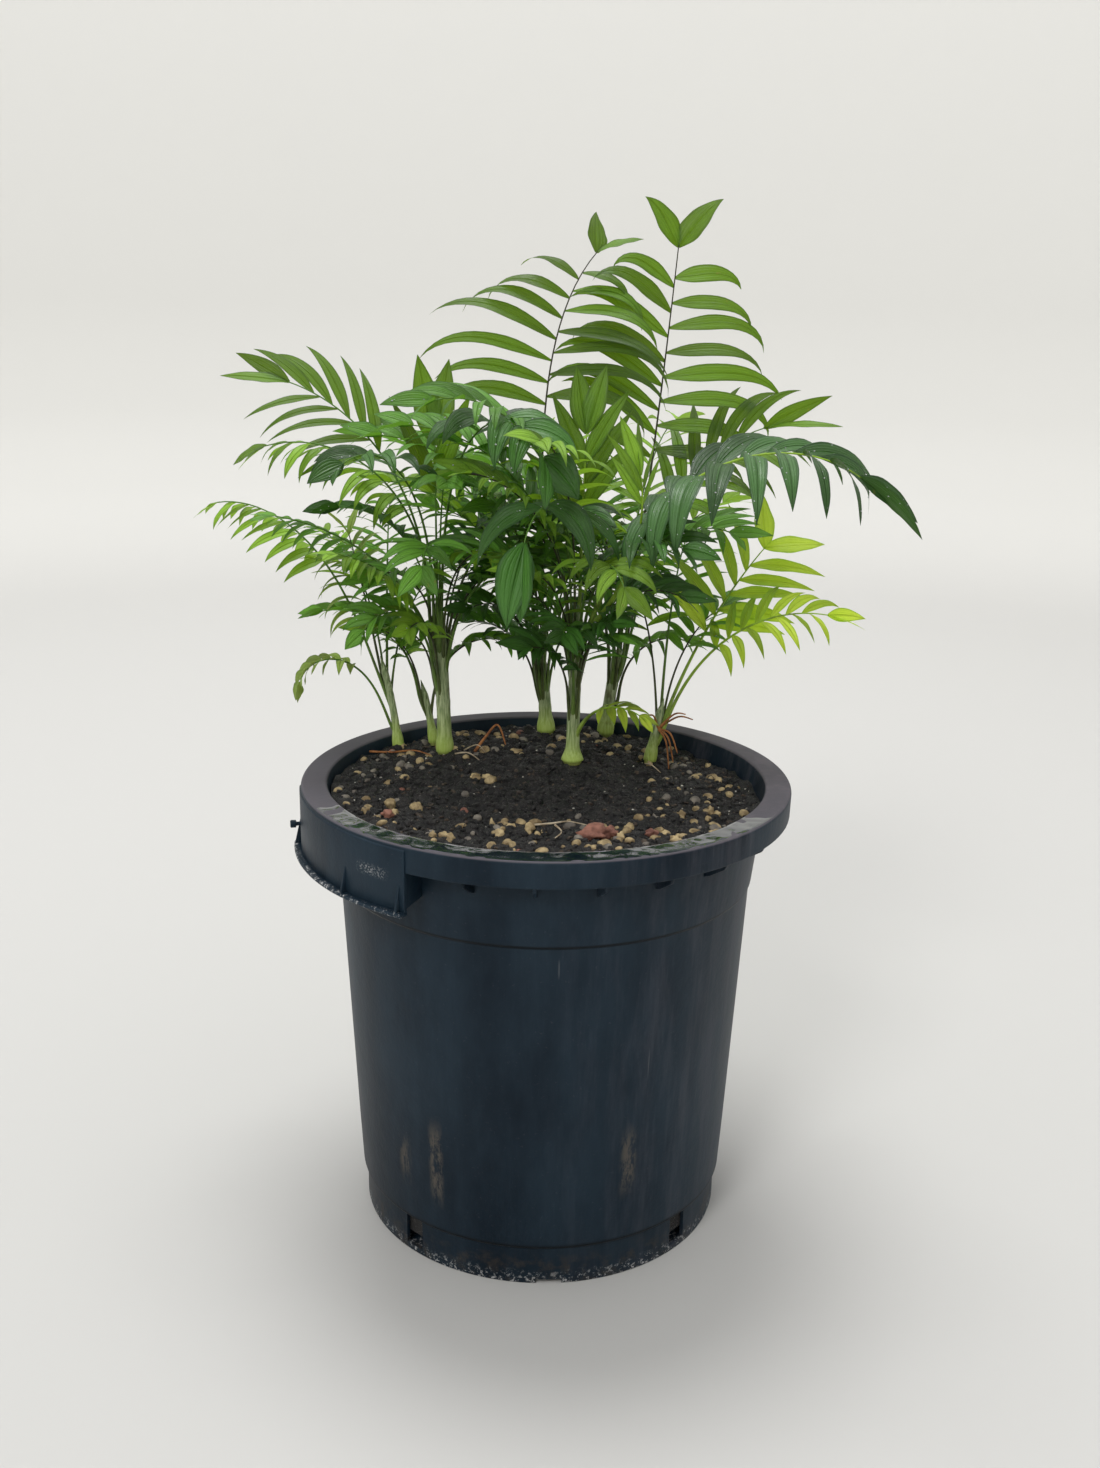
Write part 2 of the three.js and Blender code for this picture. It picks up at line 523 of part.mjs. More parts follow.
function midribSolid(frond, line) {
  const rings = line.map((centre, i) => {
    const share = i / MIDRIB_RINGS;
    const radius = frond.stalk + (MIDRIB_TIP_RADIUS - frond.stalk) * share;
    const { right, up } = midribFrame(frond, share);
    return [90, 210, 330].map((turn) => {
      const corner = centre.clone().addScaledVector(right, -radius * Math.cos(radians(turn)));
      return corner.addScaledVector(up, radius * Math.sin(radians(turn)));
    });
  });
  return solidOf(skinned(rings, null, null));
}

// One leaflet: its length, width and thickness, and the middle line and width directions it follows.
function leaflet(frond, line, pair, side, lift) {
  const last = pair === frond.pairs - 1;
  const place = (pair + 0.5) / frond.pairs;
  const dice = [0, 1, 2, 3].map((k) => chance(frond.seed, pair * 2 + (side > 0 ? 1 : 0), k));
  const stagger = last ? 0 : (0.18 * side) / frond.pairs;
  const share = last ? 0.995 : frond.bare + (1 - frond.bare) * (place + stagger);
  const { along, right, up } = midribFrame(frond, share);

  const usual = frond.open * (1 - place) + frond.close * place + side * frond.skew;
  const angle = radians(last ? frond.fork : usual + (dice[0] - 0.5) * 12);
  const swell = 0.72 + 0.28 * Math.sin(Math.PI * Math.min(1, place * 0.85 + 0.15));
  const shrink = 1 - ((1 - frond.tip) * Math.max(0, place - 0.4)) / 0.6;
  const length = frond.leaf * swell * (0.92 + 0.16 * dice[1]) * shrink;
  const narrowing = 1 - (1 - frond.narrow) * place;
  const width = frond.width * (0.9 + 0.2 * dice[2]) * narrowing * (last ? 1.4 : 1);

  const flat = along.clone().multiplyScalar(Math.cos(angle));
  flat.addScaledVector(right, side * Math.sin(angle));
  const vee = radians(frond.vee * Math.sin(angle) + lift);
  const start = flat.multiplyScalar(Math.cos(vee)).addScaledVector(up, Math.sin(vee));
  const edge = along.clone().addScaledVector(start, -along.dot(start)).normalize();
  const face = start.clone().cross(edge).multiplyScalar(side);
  const feather = radians(frond.feather);
  const across = edge.multiplyScalar(Math.cos(feather)).addScaledVector(face, -Math.sin(feather));

  const azimuth = THREE.MathUtils.radToDeg(Math.atan2(start.y, start.x));
  const climb = THREE.MathUtils.radToDeg(Math.asin(THREE.MathUtils.clamp(start.z, -1, 1)));
  const hang = frond.hang * (0.7 + 0.6 * dice[3]) * (last ? 0.3 : 1);
  const point = pointOn(line, share);
  const middle = [point.clone()];
  const widths = [across];
  for (let i = 0; i < LEAFLET_STEPS; i++) {
    const rise = Math.max(climb - hang * ((i + 0.5) / LEAFLET_STEPS) ** frond.late, -87);
    const ahead = heading(azimuth, rise);
    middle.push(point.addScaledVector(ahead, length / LEAFLET_STEPS).clone());
    widths.push(across.clone().addScaledVector(ahead, -across.dot(ahead)).normalize());
  }
  return { length, width, middle, widths };
}

// The blade: three-sided, with two edges and a keel, from a point in the midrib to its tip.
function leafletSolid({ length, width, middle, widths }, extra) {
  const thick = Math.max(LEAFLET_THICK, length * LEAFLET_THINNEST) + extra;
  const stations = length > LONG_LEAFLET ? [[3, 1], [6, 0.72]] : [[4, 1]];
  const rings = stations.map(([step, fullness]) => {
    const half = (width / 2) * fullness + extra / 2;
    const ahead = middle[step + 1].clone().sub(middle[step - 1]).normalize();
    const keel = widths[step].clone().cross(ahead);
    if (keel.z > 0) keel.negate();
    return [
      middle[step].clone().addScaledVector(widths[step], half).addScaledVector(keel, -extra / 2),
      middle[step].clone().addScaledVector(keel, thick),
      middle[step].clone().addScaledVector(widths[step], -half).addScaledVector(keel, -extra / 2),
    ];
  });
  const [root, tip] = [middle[0], middle[LEAFLET_STEPS]];
  const solid = solidOf(skinned(rings, root, tip));
  if (solid.volume() > 0) return solid;
  return solidOf(skinned(rings.map((ring) => ring.reverse()), root, tip));
}

// ---- Fronds: each in its own space ---------------------------------------------------------------------
function boxesMeet(a, b) {
  return [0, 1, 2].every((axis) => a.min[axis] <= b.max[axis] && b.min[axis] <= a.max[axis]);
}

function touches(solid, placed, ownIndex) {
  const box = solid.boundingBox();
  return placed.some((other) => {
    if (other.owner === ownIndex || !boxesMeet(box, other.box)) return false;
    return solid.intersect(other.solid).volume() > 0;
  });
}

// Grows every frond: first all the midribs, then the leaflets in turn. A leaflet that would
// touch another node is lifted or lowered, and left out where that does not free it.
function growFronds(fronds, others) {
  const placed = others.map((solid) => ({ solid, box: solid.boundingBox(), owner: -1 }));
  const lines = fronds.map((frond) => stretches(midribLine(frond)));
  const grown = fronds.map((frond, index) => {
    const solid = midribSolid(frond, lines[index]);
    placed.push({ solid, box: solid.boundingBox(), owner: index });
    return [solid];
  });
  fronds.forEach((frond, index) => {
    for (let pair = 0; pair < frond.pairs; pair++) {
      for (const side of [-1, 1]) {
        const free = OTHER_LIFTS.find((lift) => {
          const tried = leafletSolid(leaflet(frond, lines[index], pair, side, lift), 2 * CLEAR);
          return !touches(tried, placed, index);
        });
        if (free === undefined) continue;
        const solid = leafletSolid(leaflet(frond, lines[index], pair, side, free), 0);
        placed.push({ solid, box: solid.boundingBox(), owner: index });
        grown[index].push(solid);
      }
    }
  });
  return grown.map(union);
}

// ---- The plant in its pot ----------------------------------------------------------------------
const palm = new THREE.Group();
palm.name = "parlour_palm";

const potSolid = pot();
const soilSolid = soil();
palm.add(meshOf("pot", potSolid, POT_COLOUR));
palm.add(meshOf("soil", soilSolid, SOIL_COLOUR));

const stemSolids = Object.entries(STEMS).map(([name, stem]) => {
  const solid = stemSolid(stem);
  palm.add(meshOf(`stem_${name}`, solid, STEM_COLOUR));
  return solid;
});

const allFronds = FRONDS.map((given, index) => ({ ...USUAL_FROND, ...given, seed: index + 1 }));
const frondSolids = growFronds(allFronds, [potSolid, soilSolid, ...stemSolids]);
const counts = {};
allFronds.forEach((frond, index) => {
  counts[frond.stem] = (counts[frond.stem] ?? 0) + 1;
  palm.add(meshOf(`frond_${frond.stem}_${counts[frond.stem]}`, frondSolids[index], FROND_COLOUR));
});

export default palm;
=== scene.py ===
# %% [markdown]
# # A parlour palm in its nursery pot
#
# This lesson dresses seven slim palm stems, their fronds, the soil and a black plastic pot. A plain
# solid of every part is already there, as a fixed frame. Each piece made here takes the place of
# such a solid, at its size. Sizes are in millimetres and become metres when a mesh is made.

# %% Load the frame
import math

import bmesh
import bpy
import numpy as np
from mathutils import Matrix, Vector, noise


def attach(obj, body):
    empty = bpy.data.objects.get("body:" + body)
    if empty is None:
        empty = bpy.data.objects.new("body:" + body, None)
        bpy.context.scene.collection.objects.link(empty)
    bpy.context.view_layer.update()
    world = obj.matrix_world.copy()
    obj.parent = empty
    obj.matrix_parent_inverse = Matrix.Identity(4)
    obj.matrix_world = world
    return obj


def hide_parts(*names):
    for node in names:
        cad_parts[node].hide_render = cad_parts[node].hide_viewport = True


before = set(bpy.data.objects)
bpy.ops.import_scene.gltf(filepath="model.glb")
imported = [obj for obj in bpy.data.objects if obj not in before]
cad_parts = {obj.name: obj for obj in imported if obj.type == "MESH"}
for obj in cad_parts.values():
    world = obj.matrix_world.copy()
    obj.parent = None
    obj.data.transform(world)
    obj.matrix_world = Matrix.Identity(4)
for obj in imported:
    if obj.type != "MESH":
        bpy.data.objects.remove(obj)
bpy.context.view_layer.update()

MM = 0.001


def thing_of(name, data, material=None):
    thing = bpy.data.objects.new(name, data)
    bpy.context.collection.objects.link(thing)
    if material:
        data.materials.append(material)
    return thing


# %% [markdown]
# ## Camera
#
# The pot is looked at from in front and a little above, so that the soil shows as an ellipse and
# the foot stays in view. A Track To constraint could aim the camera. Three direction vectors in a
# matrix are used instead, because they also hold its slight roll.

# %% Camera
TILT, ROLL, LENS = math.radians(16.1), math.radians(0.9), 36.29
CAMERA_PLACE = (0.002, -0.957, 0.615)


def make_camera():
    ahead = Vector((0, math.cos(TILT), -math.sin(TILT)))
    upright = Vector((0, math.sin(TILT), math.cos(TILT)))
    level = Vector((1, 0, 0))
    right = math.cos(ROLL) * level + math.sin(ROLL) * upright
    up = math.cos(ROLL) * upright - math.sin(ROLL) * level
    camera = thing_of("camera", bpy.data.cameras.new("camera"))
    camera.data.lens = LENS
    turn = Matrix((right, up, -ahead)).transposed().to_4x4()
    camera.matrix_world = Matrix.Translation(CAMERA_PLACE) @ turn
    bpy.context.scene.camera = camera
    return camera


print("camera at", make_camera().location[:])

# %% [markdown]
# ## Words for nodes
#
# Materials and Geometry Nodes trees are graphs of nodes, and wiring them line by line is long. A
# `Wire` is a socket that adds a Math node when an operator is used on it, so `1 - mask` is a node.
# A `Board` is one tree. Its `node` method makes any other node from its type, its settings and the
# values or wires of its sockets.

# %% Wires
class Wire:
    def __init__(self, board, socket):
        self.board, self.socket = board, socket

    def math(self, operation, other=0.0, flipped=False):
        values = {0: other, 1: self} if flipped else {0: self, 1: other}
        return self.board.node("ShaderNodeMath", {"operation": operation}, values)

    def __add__(self, other):
        return self.math("ADD", other)

    __radd__ = __add__

    def __sub__(self, other):
        return self.math("SUBTRACT", other)

    def __rsub__(self, other):
        return self.math("SUBTRACT", other, flipped=True)

    def __mul__(self, other):
        return self.math("MULTIPLY", other)

    def __truediv__(self, other):
        return self.math("DIVIDE", other)

    def __rtruediv__(self, other):
        return self.math("DIVIDE", other, flipped=True)

    def ramp(self, low, high):
        """0 below low, 1 above high, and smooth between; low may be the greater."""
        if low > high:
            return 1 - self.ramp(high, low)
        settings = {"interpolation_type": "SMOOTHSTEP"}
        return self.board.node("ShaderNodeMapRange", settings, {0: self, 1: low, 2: high})


def linear(tone):
    """A tone in the 0 to 255 steps of a screen, made linear for a shader; others stay."""
    if isinstance(tone, Wire) or len(tone) == 4:
        return tone
    steps = [c / 255 for c in tone]
    return (*[c / 12.92 if c < 0.04 else ((c + 0.055) / 1.055) ** 2.4 for c in steps], 1.0)


# %% Boards
class Board:
    def __init__(self, tree):
        self.tree = tree

    def node(self, kind, settings=None, inputs=None, out=0):
        made = self.tree.nodes.new(kind)
        for name, value in (settings or {}).items():
            setattr(made, name, value)
        for key, value in (inputs or {}).items():
            if isinstance(value, Wire):
                self.tree.links.new(value.socket, made.inputs[key])
            else:
                made.inputs[key].default_value = value
        return Wire(self, made.outputs[out]) if made.outputs else None

    def vector(self, operation, values, out=0):
        return self.node("ShaderNodeVectorMath", {"operation": operation}, values, out)

    def noise(self, place, scale, detail=3.0, roughness=0.55, out=0):
        values = {"Vector": place, "Scale": scale, "Detail": detail, "Roughness": roughness}
        return self.node("ShaderNodeTexNoise", {}, values, out)

    def stretch(self, place, scale):
        return self.vector("MULTIPLY", {0: place, 1: scale})

    def mix(self, first, second, factor):
        values = {0: factor, 6: linear(first), 7: linear(second)}
        return self.node("ShaderNodeMix", {"data_type": "RGBA"}, values, out=2)


# %% [markdown]
# A `Finish` is the board of one material. It knows the usual sources of a pattern: the place on the
# object, the piece's own UV map and its `shade` attribute, one random number for each leaflet or
# stone. `surface` closes it with a Principled BSDF. A thin green leaf also lets light through, so a
# Translucent BSDF can be mixed in by a fixed share.

# %% Finishes
class Finish(Board):
    def __init__(self, name):
        self.material = bpy.data.materials.new(name)
        self.material.use_nodes = True
        super().__init__(self.material.node_tree)
        self.tree.nodes.clear()

    def place(self):
        return self.node("ShaderNodeTexCoord", out="Object")

    def axes(self, vector):
        return [self.node("ShaderNodeSeparateXYZ", {}, {0: vector}, out) for out in range(3)]

    def blade(self):
        """Across and along a leaflet or a stalk, each from 0 to 1."""
        return self.axes(self.node("ShaderNodeUVMap", {"uv_map": "blade"}))[:2]

    def shade(self):
        return self.node("ShaderNodeAttribute", {"attribute_name": "shade"}, out="Fac")

    def bump(self, height, distance, strength):
        values = {"Height": height, "Distance": distance, "Strength": strength}
        return self.node("ShaderNodeBump", {}, values)

    def surface(self, through=None, share=0.0, **values):
        inputs = {name.replace("_", " "): value for name, value in values.items()}
        shader = self.node("ShaderNodeBsdfPrincipled", {}, inputs)
        if through:
            lit = self.node("ShaderNodeBsdfTranslucent", {}, {"Color": linear(through)})
            shader = self.node("ShaderNodeMixShader", {}, {0: share, 1: shader, 2: lit})
        self.node("ShaderNodeOutputMaterial", {}, {"Surface": shader})
        return self.material


# %% [markdown]
# ## Words for meshes
#
# Hundreds of leaflets as hundreds of objects would be slow, so a `Bundle` gathers small shapes into
# the arrays of one mesh. Each point also carries three marks: across, along and shade. A solid is
# turned inside out if its volume comes out negative, so that all its faces point outwards.

# %% Bundles
class Bundle:
    def __init__(self):
        self.points, self.faces, self.marks, self.total = [], [], [], 0

    def add(self, points, faces, marks=None):
        points = np.asarray(points, float).reshape(-1, 3)
        marks = np.zeros((len(points), 3)) if marks is None else np.reshape(marks, (-1, 3))
        self.points.append(points)
        self.marks.append(marks)
        self.faces += [[corner + self.total for corner in face] for face in faces]
        self.total += len(points)

    def solid(self, points, faces, marks=None):
        points = np.asarray(points, float).reshape(-1, 3)
        fans = [(face[0], *face[i:i + 2]) for face in faces for i in range(1, len(face) - 1)]
        a, b, c = (points[list(corners)] for corners in zip(*fans))
        if np.einsum("ij,ij->i", a, np.cross(b, c)).sum() < 0:
            faces = [face[::-1] for face in faces]
        self.add(points, faces, marks)


def grid(rows, columns, closed=False):
    """The quads of a grid of points; a closed one joins its last column to its first."""
    faces = []
    for i in range(rows - 1):
        for j in range(columns if closed else columns - 1):
            k, here, there = (j + 1) % columns, i * columns, (i + 1) * columns
            faces.append([here + j, here + k, there + k, there + j])
    return faces


# %% Closed bodies
def add_bar(bundle, rows, marks=None):
    """A closed body through rings of points, with flat ends."""
    long, sides = len(rows), len(rows[0])
    ends = [list(range(sides))[::-1], list(range((long - 1) * sides, long * sides))]
    bundle.solid(rows, grid(long, sides, closed=True) + ends, marks)


def add_round(bundle, rows, low, high):
    """A closed body through rings of points about Z, with poles on the axis at low and high."""
    long, sides = len(rows), len(rows[0])
    first, last, base = long * sides, long * sides + 1, (long - 1) * sides
    faces = grid(long, sides, closed=True)
    for i in range(sides):
        j = (i + 1) % sides
        faces += [[first, j, i], [last, base + i, base + j]]
    bundle.solid(np.concatenate([*rows, [[0, 0, low], [0, 0, high]]]), faces)


# %% Tubes
def unit(vector):
    return vector / np.linalg.norm(vector)


def directions(path):
    ahead = np.gradient(path, axis=0)
    return ahead / np.linalg.norm(ahead, axis=1)[:, None]


def tube(bundle, path, radii, sides):
    """A closed tube round a path of points, with a radius at each point."""
    path = np.asarray(path, float)
    ahead = directions(path)
    side = unit(np.cross(ahead[0], [0.13, 0.99, 0.05] if abs(ahead[0][2]) > 0.5 else [0, 0, 1]))
    turns = np.arange(sides) * 2 * math.pi / sides
    rings, marks = [], []
    for i, point in enumerate(path):
        side = unit(side - ahead[i] * side.dot(ahead[i]))
        other = np.cross(ahead[i], side)
        spokes = np.outer(np.cos(turns), side) + np.outer(np.sin(turns), other)
        rings.append(point + radii[i] * spokes)
        marks.append([[t / sides, i / (len(path) - 1), 0.5] for t in range(sides)])
    add_bar(bundle, rings, marks)


def smooth_path(corners, steps=6):
    """A curve through the corners, with that many steps between two of them."""
    p = [np.array(c, float) for c in (corners[0], *corners, corners[-1])]
    path = []
    for a, b, c, d in zip(p, p[1:], p[2:], p[3:]):
        for t in np.arange(steps) / steps:
            path.append(0.5 * (2 * b + (c - a) * t + (2 * a - 5 * b + 4 * c - d) * t**2
                               + (3 * b - a - 3 * c + d) * t**3))
    return np.array(path + [p[-1]])


# %% Pieces
def declare(thing, nodes=()):
    """Says what a finished object rides on and which solids it stands for."""
    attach(thing, "root")
    if nodes:
        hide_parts(*nodes)
    thing.data.calc_loop_triangles()
    print(f"{thing.name}: {len(thing.data.loop_triangles)} triangles")
    return thing


def smooth(mesh, crease):
    """Smooth shading, with sharp edges where faces meet at more than crease degrees."""
    mesh.shade_smooth()
    if crease:
        mesh.set_sharp_from_angle(angle=math.radians(crease))
    return mesh


def mesh_of(name, bundle, crease=None):
    mesh = bpy.data.meshes.new(name)
    mesh.from_pydata((np.concatenate(bundle.points) * MM).tolist(), [], bundle.faces)
    marks = np.concatenate(bundle.marks).astype(np.float32)
    corners = np.empty(len(mesh.loops), dtype=np.int32)
    mesh.loops.foreach_get("vertex_index", corners)
    mesh.uv_layers.new(name="blade").data.foreach_set("uv", marks[corners][:, :2].ravel())
    mesh.attributes.new("shade", "FLOAT", "POINT").data.foreach_set("value", marks[:, 2].copy())
    return smooth(mesh, crease)


def piece(name, bundle, material, nodes=(), crease=None):
    return declare(thing_of(name, mesh_of(name, bundle, crease), material), nodes)


def settled(name, thing, material=None):
    """The object with its modifiers worked out into a plain mesh; the object itself goes."""
    evaluated = thing.evaluated_get(bpy.context.evaluated_depsgraph_get())
    mesh = bpy.data.meshes.new_from_object(evaluated)
    thing.modifiers.clear()
    bpy.data.objects.remove(thing)
    mesh.name = name
    if material:
        mesh.materials.clear()
        smooth(mesh, 38)
    return thing_of(name, mesh, material)


# %% [markdown]
# ## Pot: plastic
# The pot is dark blue-black polypropylene. Its gloss is uneven, because dust and dried water have
# run down it in soft vertical streaks. The foot and the handle lip are chipped pale, and three
# muddy runs and a few fine scratches mark the wall. Masks for such places are made from the height
# and the azimuth round the pot, broken up by noise. Light is painted in as well: the flat top of
# the rim is painted lighter, as a painted sheen, and near-black lines at the step of the wall and
# the top of the foot are painted shade.

# %% Plastic
def pot_finish():
    f = Finish("pot_plastic")
    place = f.place()
    x, y, z = f.axes(place)
    radius = (x * x + y * y).math("SQRT")
    azimuth = y.math("ARCTAN2", x) * (180 / math.pi)
    fine = f.noise(place, 420, 4)
    cloud = f.noise(f.stretch(place, (1, 1, 0.4)), 12, 6, 0.62)
    runs = f.noise(f.stretch(place, (1, 1, 0.09)), 70, 5, 0.7)

    def band(low, over, under, high):
        """A mask of 1 from the height over to the height under, in metres."""
        return z.ramp(low, over) * z.ramp(high, under)

    def patch(centre, wide, low, high, soft=0.012):
        """A mask round an azimuth in degrees, between two heights in metres."""
        near = (azimuth - centre).math("ABSOLUTE").ramp(wide, wide * 0.3)
        return near * z.ramp(low - soft, low + soft) * z.ramp(high + soft, high - soft)

    ragged = f.noise(f.stretch(place, (1, 1, 0.3)), 260, 5, 0.75)
    mud = (patch(-133, 3.2, 0.062, 0.085) + patch(-121, 3.0, 0.055, 0.105) * 1.1
           + patch(-64.5, 3.2, 0.068, 0.108)) * ragged.ramp(0.40, 0.58)
    scuff = patch(-129, 5.5, 0.2865, 0.2925, 0.002) * f.noise(place, 900, 3, 0.7).ramp(0.5, 0.62)
    scratch = patch(-86, 0.3, 0.226, 0.236, 0.003) + patch(-60, 0.25, 0.15, 0.165, 0.006)
    lip = band(0.2635, 0.2650, 0.2685, 0.2700) * radius.ramp(0.166, 0.168)
    chips = (z.ramp(0.012, 0.001) + lip) * f.noise(place, 330, 4, 0.8).ramp(0.53, 0.63)
    # top is the flat top of the rim; below it is painted lighter, as a painted sheen
    top = z.ramp(0.3085, 0.3095)
    # Painted shade: near-black lines along the step of the wall and the top of the foot
    step_and_foot_shade = band(0.2435, 0.2452, 0.2457, 0.2475) + band(0.026, 0.028, 0.029, 0.032)

    clouded = cloud.ramp(0.32, 0.7) * 0.7 + runs.ramp(0.42, 0.8) * 0.2
    body = f.mix((6, 22, 34), (36, 52, 64), clouded)
    streaks = (x * 6 + 0.15).ramp(0, 1) * runs.ramp(0.42, 0.7) * 0.4
    # Dust and painted sheen: the streaks and fine specks are dust, the lighter rim top is a painted
    # sheen
    dust_and_sheen = streaks + top * 1.2 + fine.ramp(0.62, 0.78) * 0.2
    dusty_and_sheened = f.mix(body, (106, 100, 106), dust_and_sheen * 0.55)
    # The painted shade lines darken the plastic here
    lined = f.mix(dusty_and_sheened, (4, 7, 10), step_and_foot_shade * 0.85)
    muddy = f.mix(lined, (92, 86, 78), mud * 0.7)
    pale = (scuff * 0.4 + scratch * 0.07 + chips * 0.8).math("MINIMUM", 1)
    marked = f.mix(muddy, (196, 196, 196), pale)
    inside = z.ramp(0.026, 0.012) * f.noise(place, 90, 4, 0.7).ramp(0.45, 0.7)
    shown = f.mix(marked, (78, 66, 50), inside * 0.35)
    rough = 0.36 + cloud * 0.22 + mud * 0.3 + dust_and_sheen * 0.18 - top * 0.06
    relief = fine * 0.4 + runs * 0.3 + f.noise(place, 55, 3) * 1.2
    return f.surface(Base_Color=shown, Roughness=rough, Specular_IOR_Level=0.16,
                     Normal=f.bump(relief, 0.0006, 0.5))


PLASTIC = pot_finish()
print("plastic:", len(PLASTIC.node_tree.nodes), "nodes")

# %% [markdown]
# ## Pot: shell
#
# The wall, the folded rim with its skirt, the foot and the raised floor are one moulding, round
# about Z. A Screw modifier could turn the outline, but mesh code also lets each corner be eased by
# a small arc first. A Boolean cuts the drain slots and notches with the boxes of a second mesh.

# %% Sizes of the pot
POT_HEIGHT, RIM_OUTER, RIM_INNER, RIM_THICK = 310, 164.6, 147.2, 2.6
RIM_BOTTOM, SKIRT_BOTTOM, SKIRT_THICK = POT_HEIGHT - RIM_THICK, 292.6, 2.2
STEP_HEIGHT, STEP_DEPTH = 245, 1.3
WALL_UNDER_RIM, WALL_AT_STEP, WALL_AT_FOOT, WALL_THICK = 146.4, 139.7, 130.2, 2.6
FLOOR_THICK, FOOT_TOP, FOOT_RADIUS, FLOOR_LIFT = 3, 28, 125.3, 9
GUTTER_INNER, CENTRE_PAD = 100, 21
DRAINS, DRAIN_AZIMUTH, DRAIN_WIDTH, DRAIN_LOW, DRAIN_HIGH = 4, 48, 15, 5, 26
NOTCH_WIDTH, NOTCH_HEIGHT = 17, 3.2
HANDLES, HANDLE_SWEEP, HANDLE_BOTTOM, HANDLE_PROUD = (187.5, 7.5), 52.5, 267, 0.9
LIP_REACH, LIP_THICK, RIBS, RIB_HEIGHT = 4.5, 2.6, (1.5, 35, 51), 20
POT_SIDES = 160

SHELL = [
    (0, 0), (CENTRE_PAD, 0), (CENTRE_PAD + 4, FLOOR_LIFT), (GUTTER_INNER - 4, FLOOR_LIFT),
    (GUTTER_INNER, 0), (FOOT_RADIUS, 0), (FOOT_RADIUS, FOOT_TOP - 1),
    (FOOT_RADIUS + 2.9, FOOT_TOP + 0.5), (WALL_AT_FOOT, FOOT_TOP + 34),
    (WALL_AT_STEP, STEP_HEIGHT - 0.7), (WALL_AT_STEP + STEP_DEPTH, STEP_HEIGHT + 0.7),
    (WALL_UNDER_RIM, SKIRT_BOTTOM), (RIM_INNER + WALL_THICK, RIM_BOTTOM),
    (RIM_OUTER - SKIRT_THICK, RIM_BOTTOM), (RIM_OUTER - SKIRT_THICK, SKIRT_BOTTOM),
    (RIM_OUTER - 0.4, SKIRT_BOTTOM), (RIM_OUTER, POT_HEIGHT - 1.6), (RIM_OUTER - 1.2, POT_HEIGHT),
    (RIM_INNER + 1, POT_HEIGHT), (RIM_INNER, POT_HEIGHT - 1),
    (WALL_UNDER_RIM - WALL_THICK, SKIRT_BOTTOM), (WALL_AT_STEP - WALL_THICK, STEP_HEIGHT),
    (WALL_AT_FOOT - WALL_THICK, FOOT_TOP + 34), (FOOT_RADIUS - WALL_THICK, FOOT_TOP + 1),
    (FOOT_RADIUS - WALL_THICK, FLOOR_THICK), (GUTTER_INNER + 1.5, FLOOR_THICK),
    (GUTTER_INNER - 3, FLOOR_LIFT + FLOOR_THICK), (CENTRE_PAD + 3, FLOOR_LIFT + FLOOR_THICK),
    (CENTRE_PAD - 1, FLOOR_THICK), (0, FLOOR_THICK),
]
print("outline of the shell:", len(SHELL), "corners")


# %% Turning and sweeping
def eased(outline, reach, steps=3):
    """The outline with each inner corner drawn as a small arc."""
    result = [outline[0]]
    for before, corner, after in zip(outline, outline[1:], outline[2:]):
        a, c, b = np.array(before, float), np.array(corner, float), np.array(after, float)
        start = c + unit(a - c) * min(reach, 0.4 * np.linalg.norm(a - c))
        end = c + unit(b - c) * min(reach, 0.4 * np.linalg.norm(b - c))
        for t in np.linspace(0, 1, steps + 1):
            result.append(tuple((1 - t) ** 2 * start + 2 * t * (1 - t) * c + t * t * end))
    return result + [outline[-1]]


def around(radius, height, degrees):
    angle = np.radians(degrees)
    return np.stack([radius * np.cos(angle), radius * np.sin(angle), height + 0 * angle], -1)


def circles(outline, sides):
    """A ring of points about Z for each (radius, height) of the outline."""
    return [around(radius, height, np.arange(sides) * 360 / sides) for radius, height in outline]


def swept(bundle, outline, azimuth, sweep, steps=60):
    """A bar of that cross-section swept about Z between two azimuths, with flat ends."""
    turns = np.linspace(azimuth, azimuth + sweep, steps + 1)
    add_bar(bundle, np.stack([around(radius, height, turns) for radius, height in outline], 1))


def radial_plate(bundle, outline, thickness, azimuth):
    """A flat plate on a radius of the pot, from an outline of (radius, height)."""
    turn = np.radians(azimuth)
    out = np.array([np.cos(turn), np.sin(turn), 0])
    side = np.array([-np.sin(turn), np.cos(turn), 0])
    add_bar(bundle, [[out * r + side * s * thickness / 2 + [0, 0, h] for r, h in outline]
                     for s in (-1, 1)])


def box(inner, outer, low, high):
    return [(inner, low), (outer, low), (outer, high), (inner, high)]


# %% Shell and drain holes
def make_shell():
    outline = eased(SHELL, 1.1)
    body, holes = Bundle(), Bundle()
    add_round(body, circles(outline[1:-1], POT_SIDES), outline[0][1], outline[-1][1])
    drain = box(FOOT_RADIUS - WALL_THICK - 2, FOOT_RADIUS + 4, DRAIN_LOW, DRAIN_HIGH)
    notch = box(GUTTER_INNER + 8, FOOT_RADIUS + 2, -1, NOTCH_HEIGHT)
    for i in range(DRAINS):
        azimuth = DRAIN_AZIMUTH + i * 360 / DRAINS
        radial_plate(holes, drain, DRAIN_WIDTH, azimuth)
        radial_plate(holes, notch, NOTCH_WIDTH, azimuth + 180 / DRAINS)
    shell = thing_of("raw_shell", mesh_of("raw", body))
    cutter = thing_of("holes", mesh_of("holes", holes))
    cut = shell.modifiers.new("drains", "BOOLEAN")
    cut.object, cut.operation, cut.solver = cutter, "DIFFERENCE", "EXACT"
    made = settled("pot_shell", shell, PLASTIC)
    bpy.data.objects.remove(cutter)
    declare(made, ["pot"])


make_shell()

# %% [markdown]
# ## Pot: handles, gussets and peg
#
# On each side a stretch of the skirt hangs deeper, as a grip. It ends in a small lip, and upright
# ribs stiffen it. The stub of a snapped tie stands at one end. Under the rest of the skirt sit small
# gussets, whose lower corners just show.

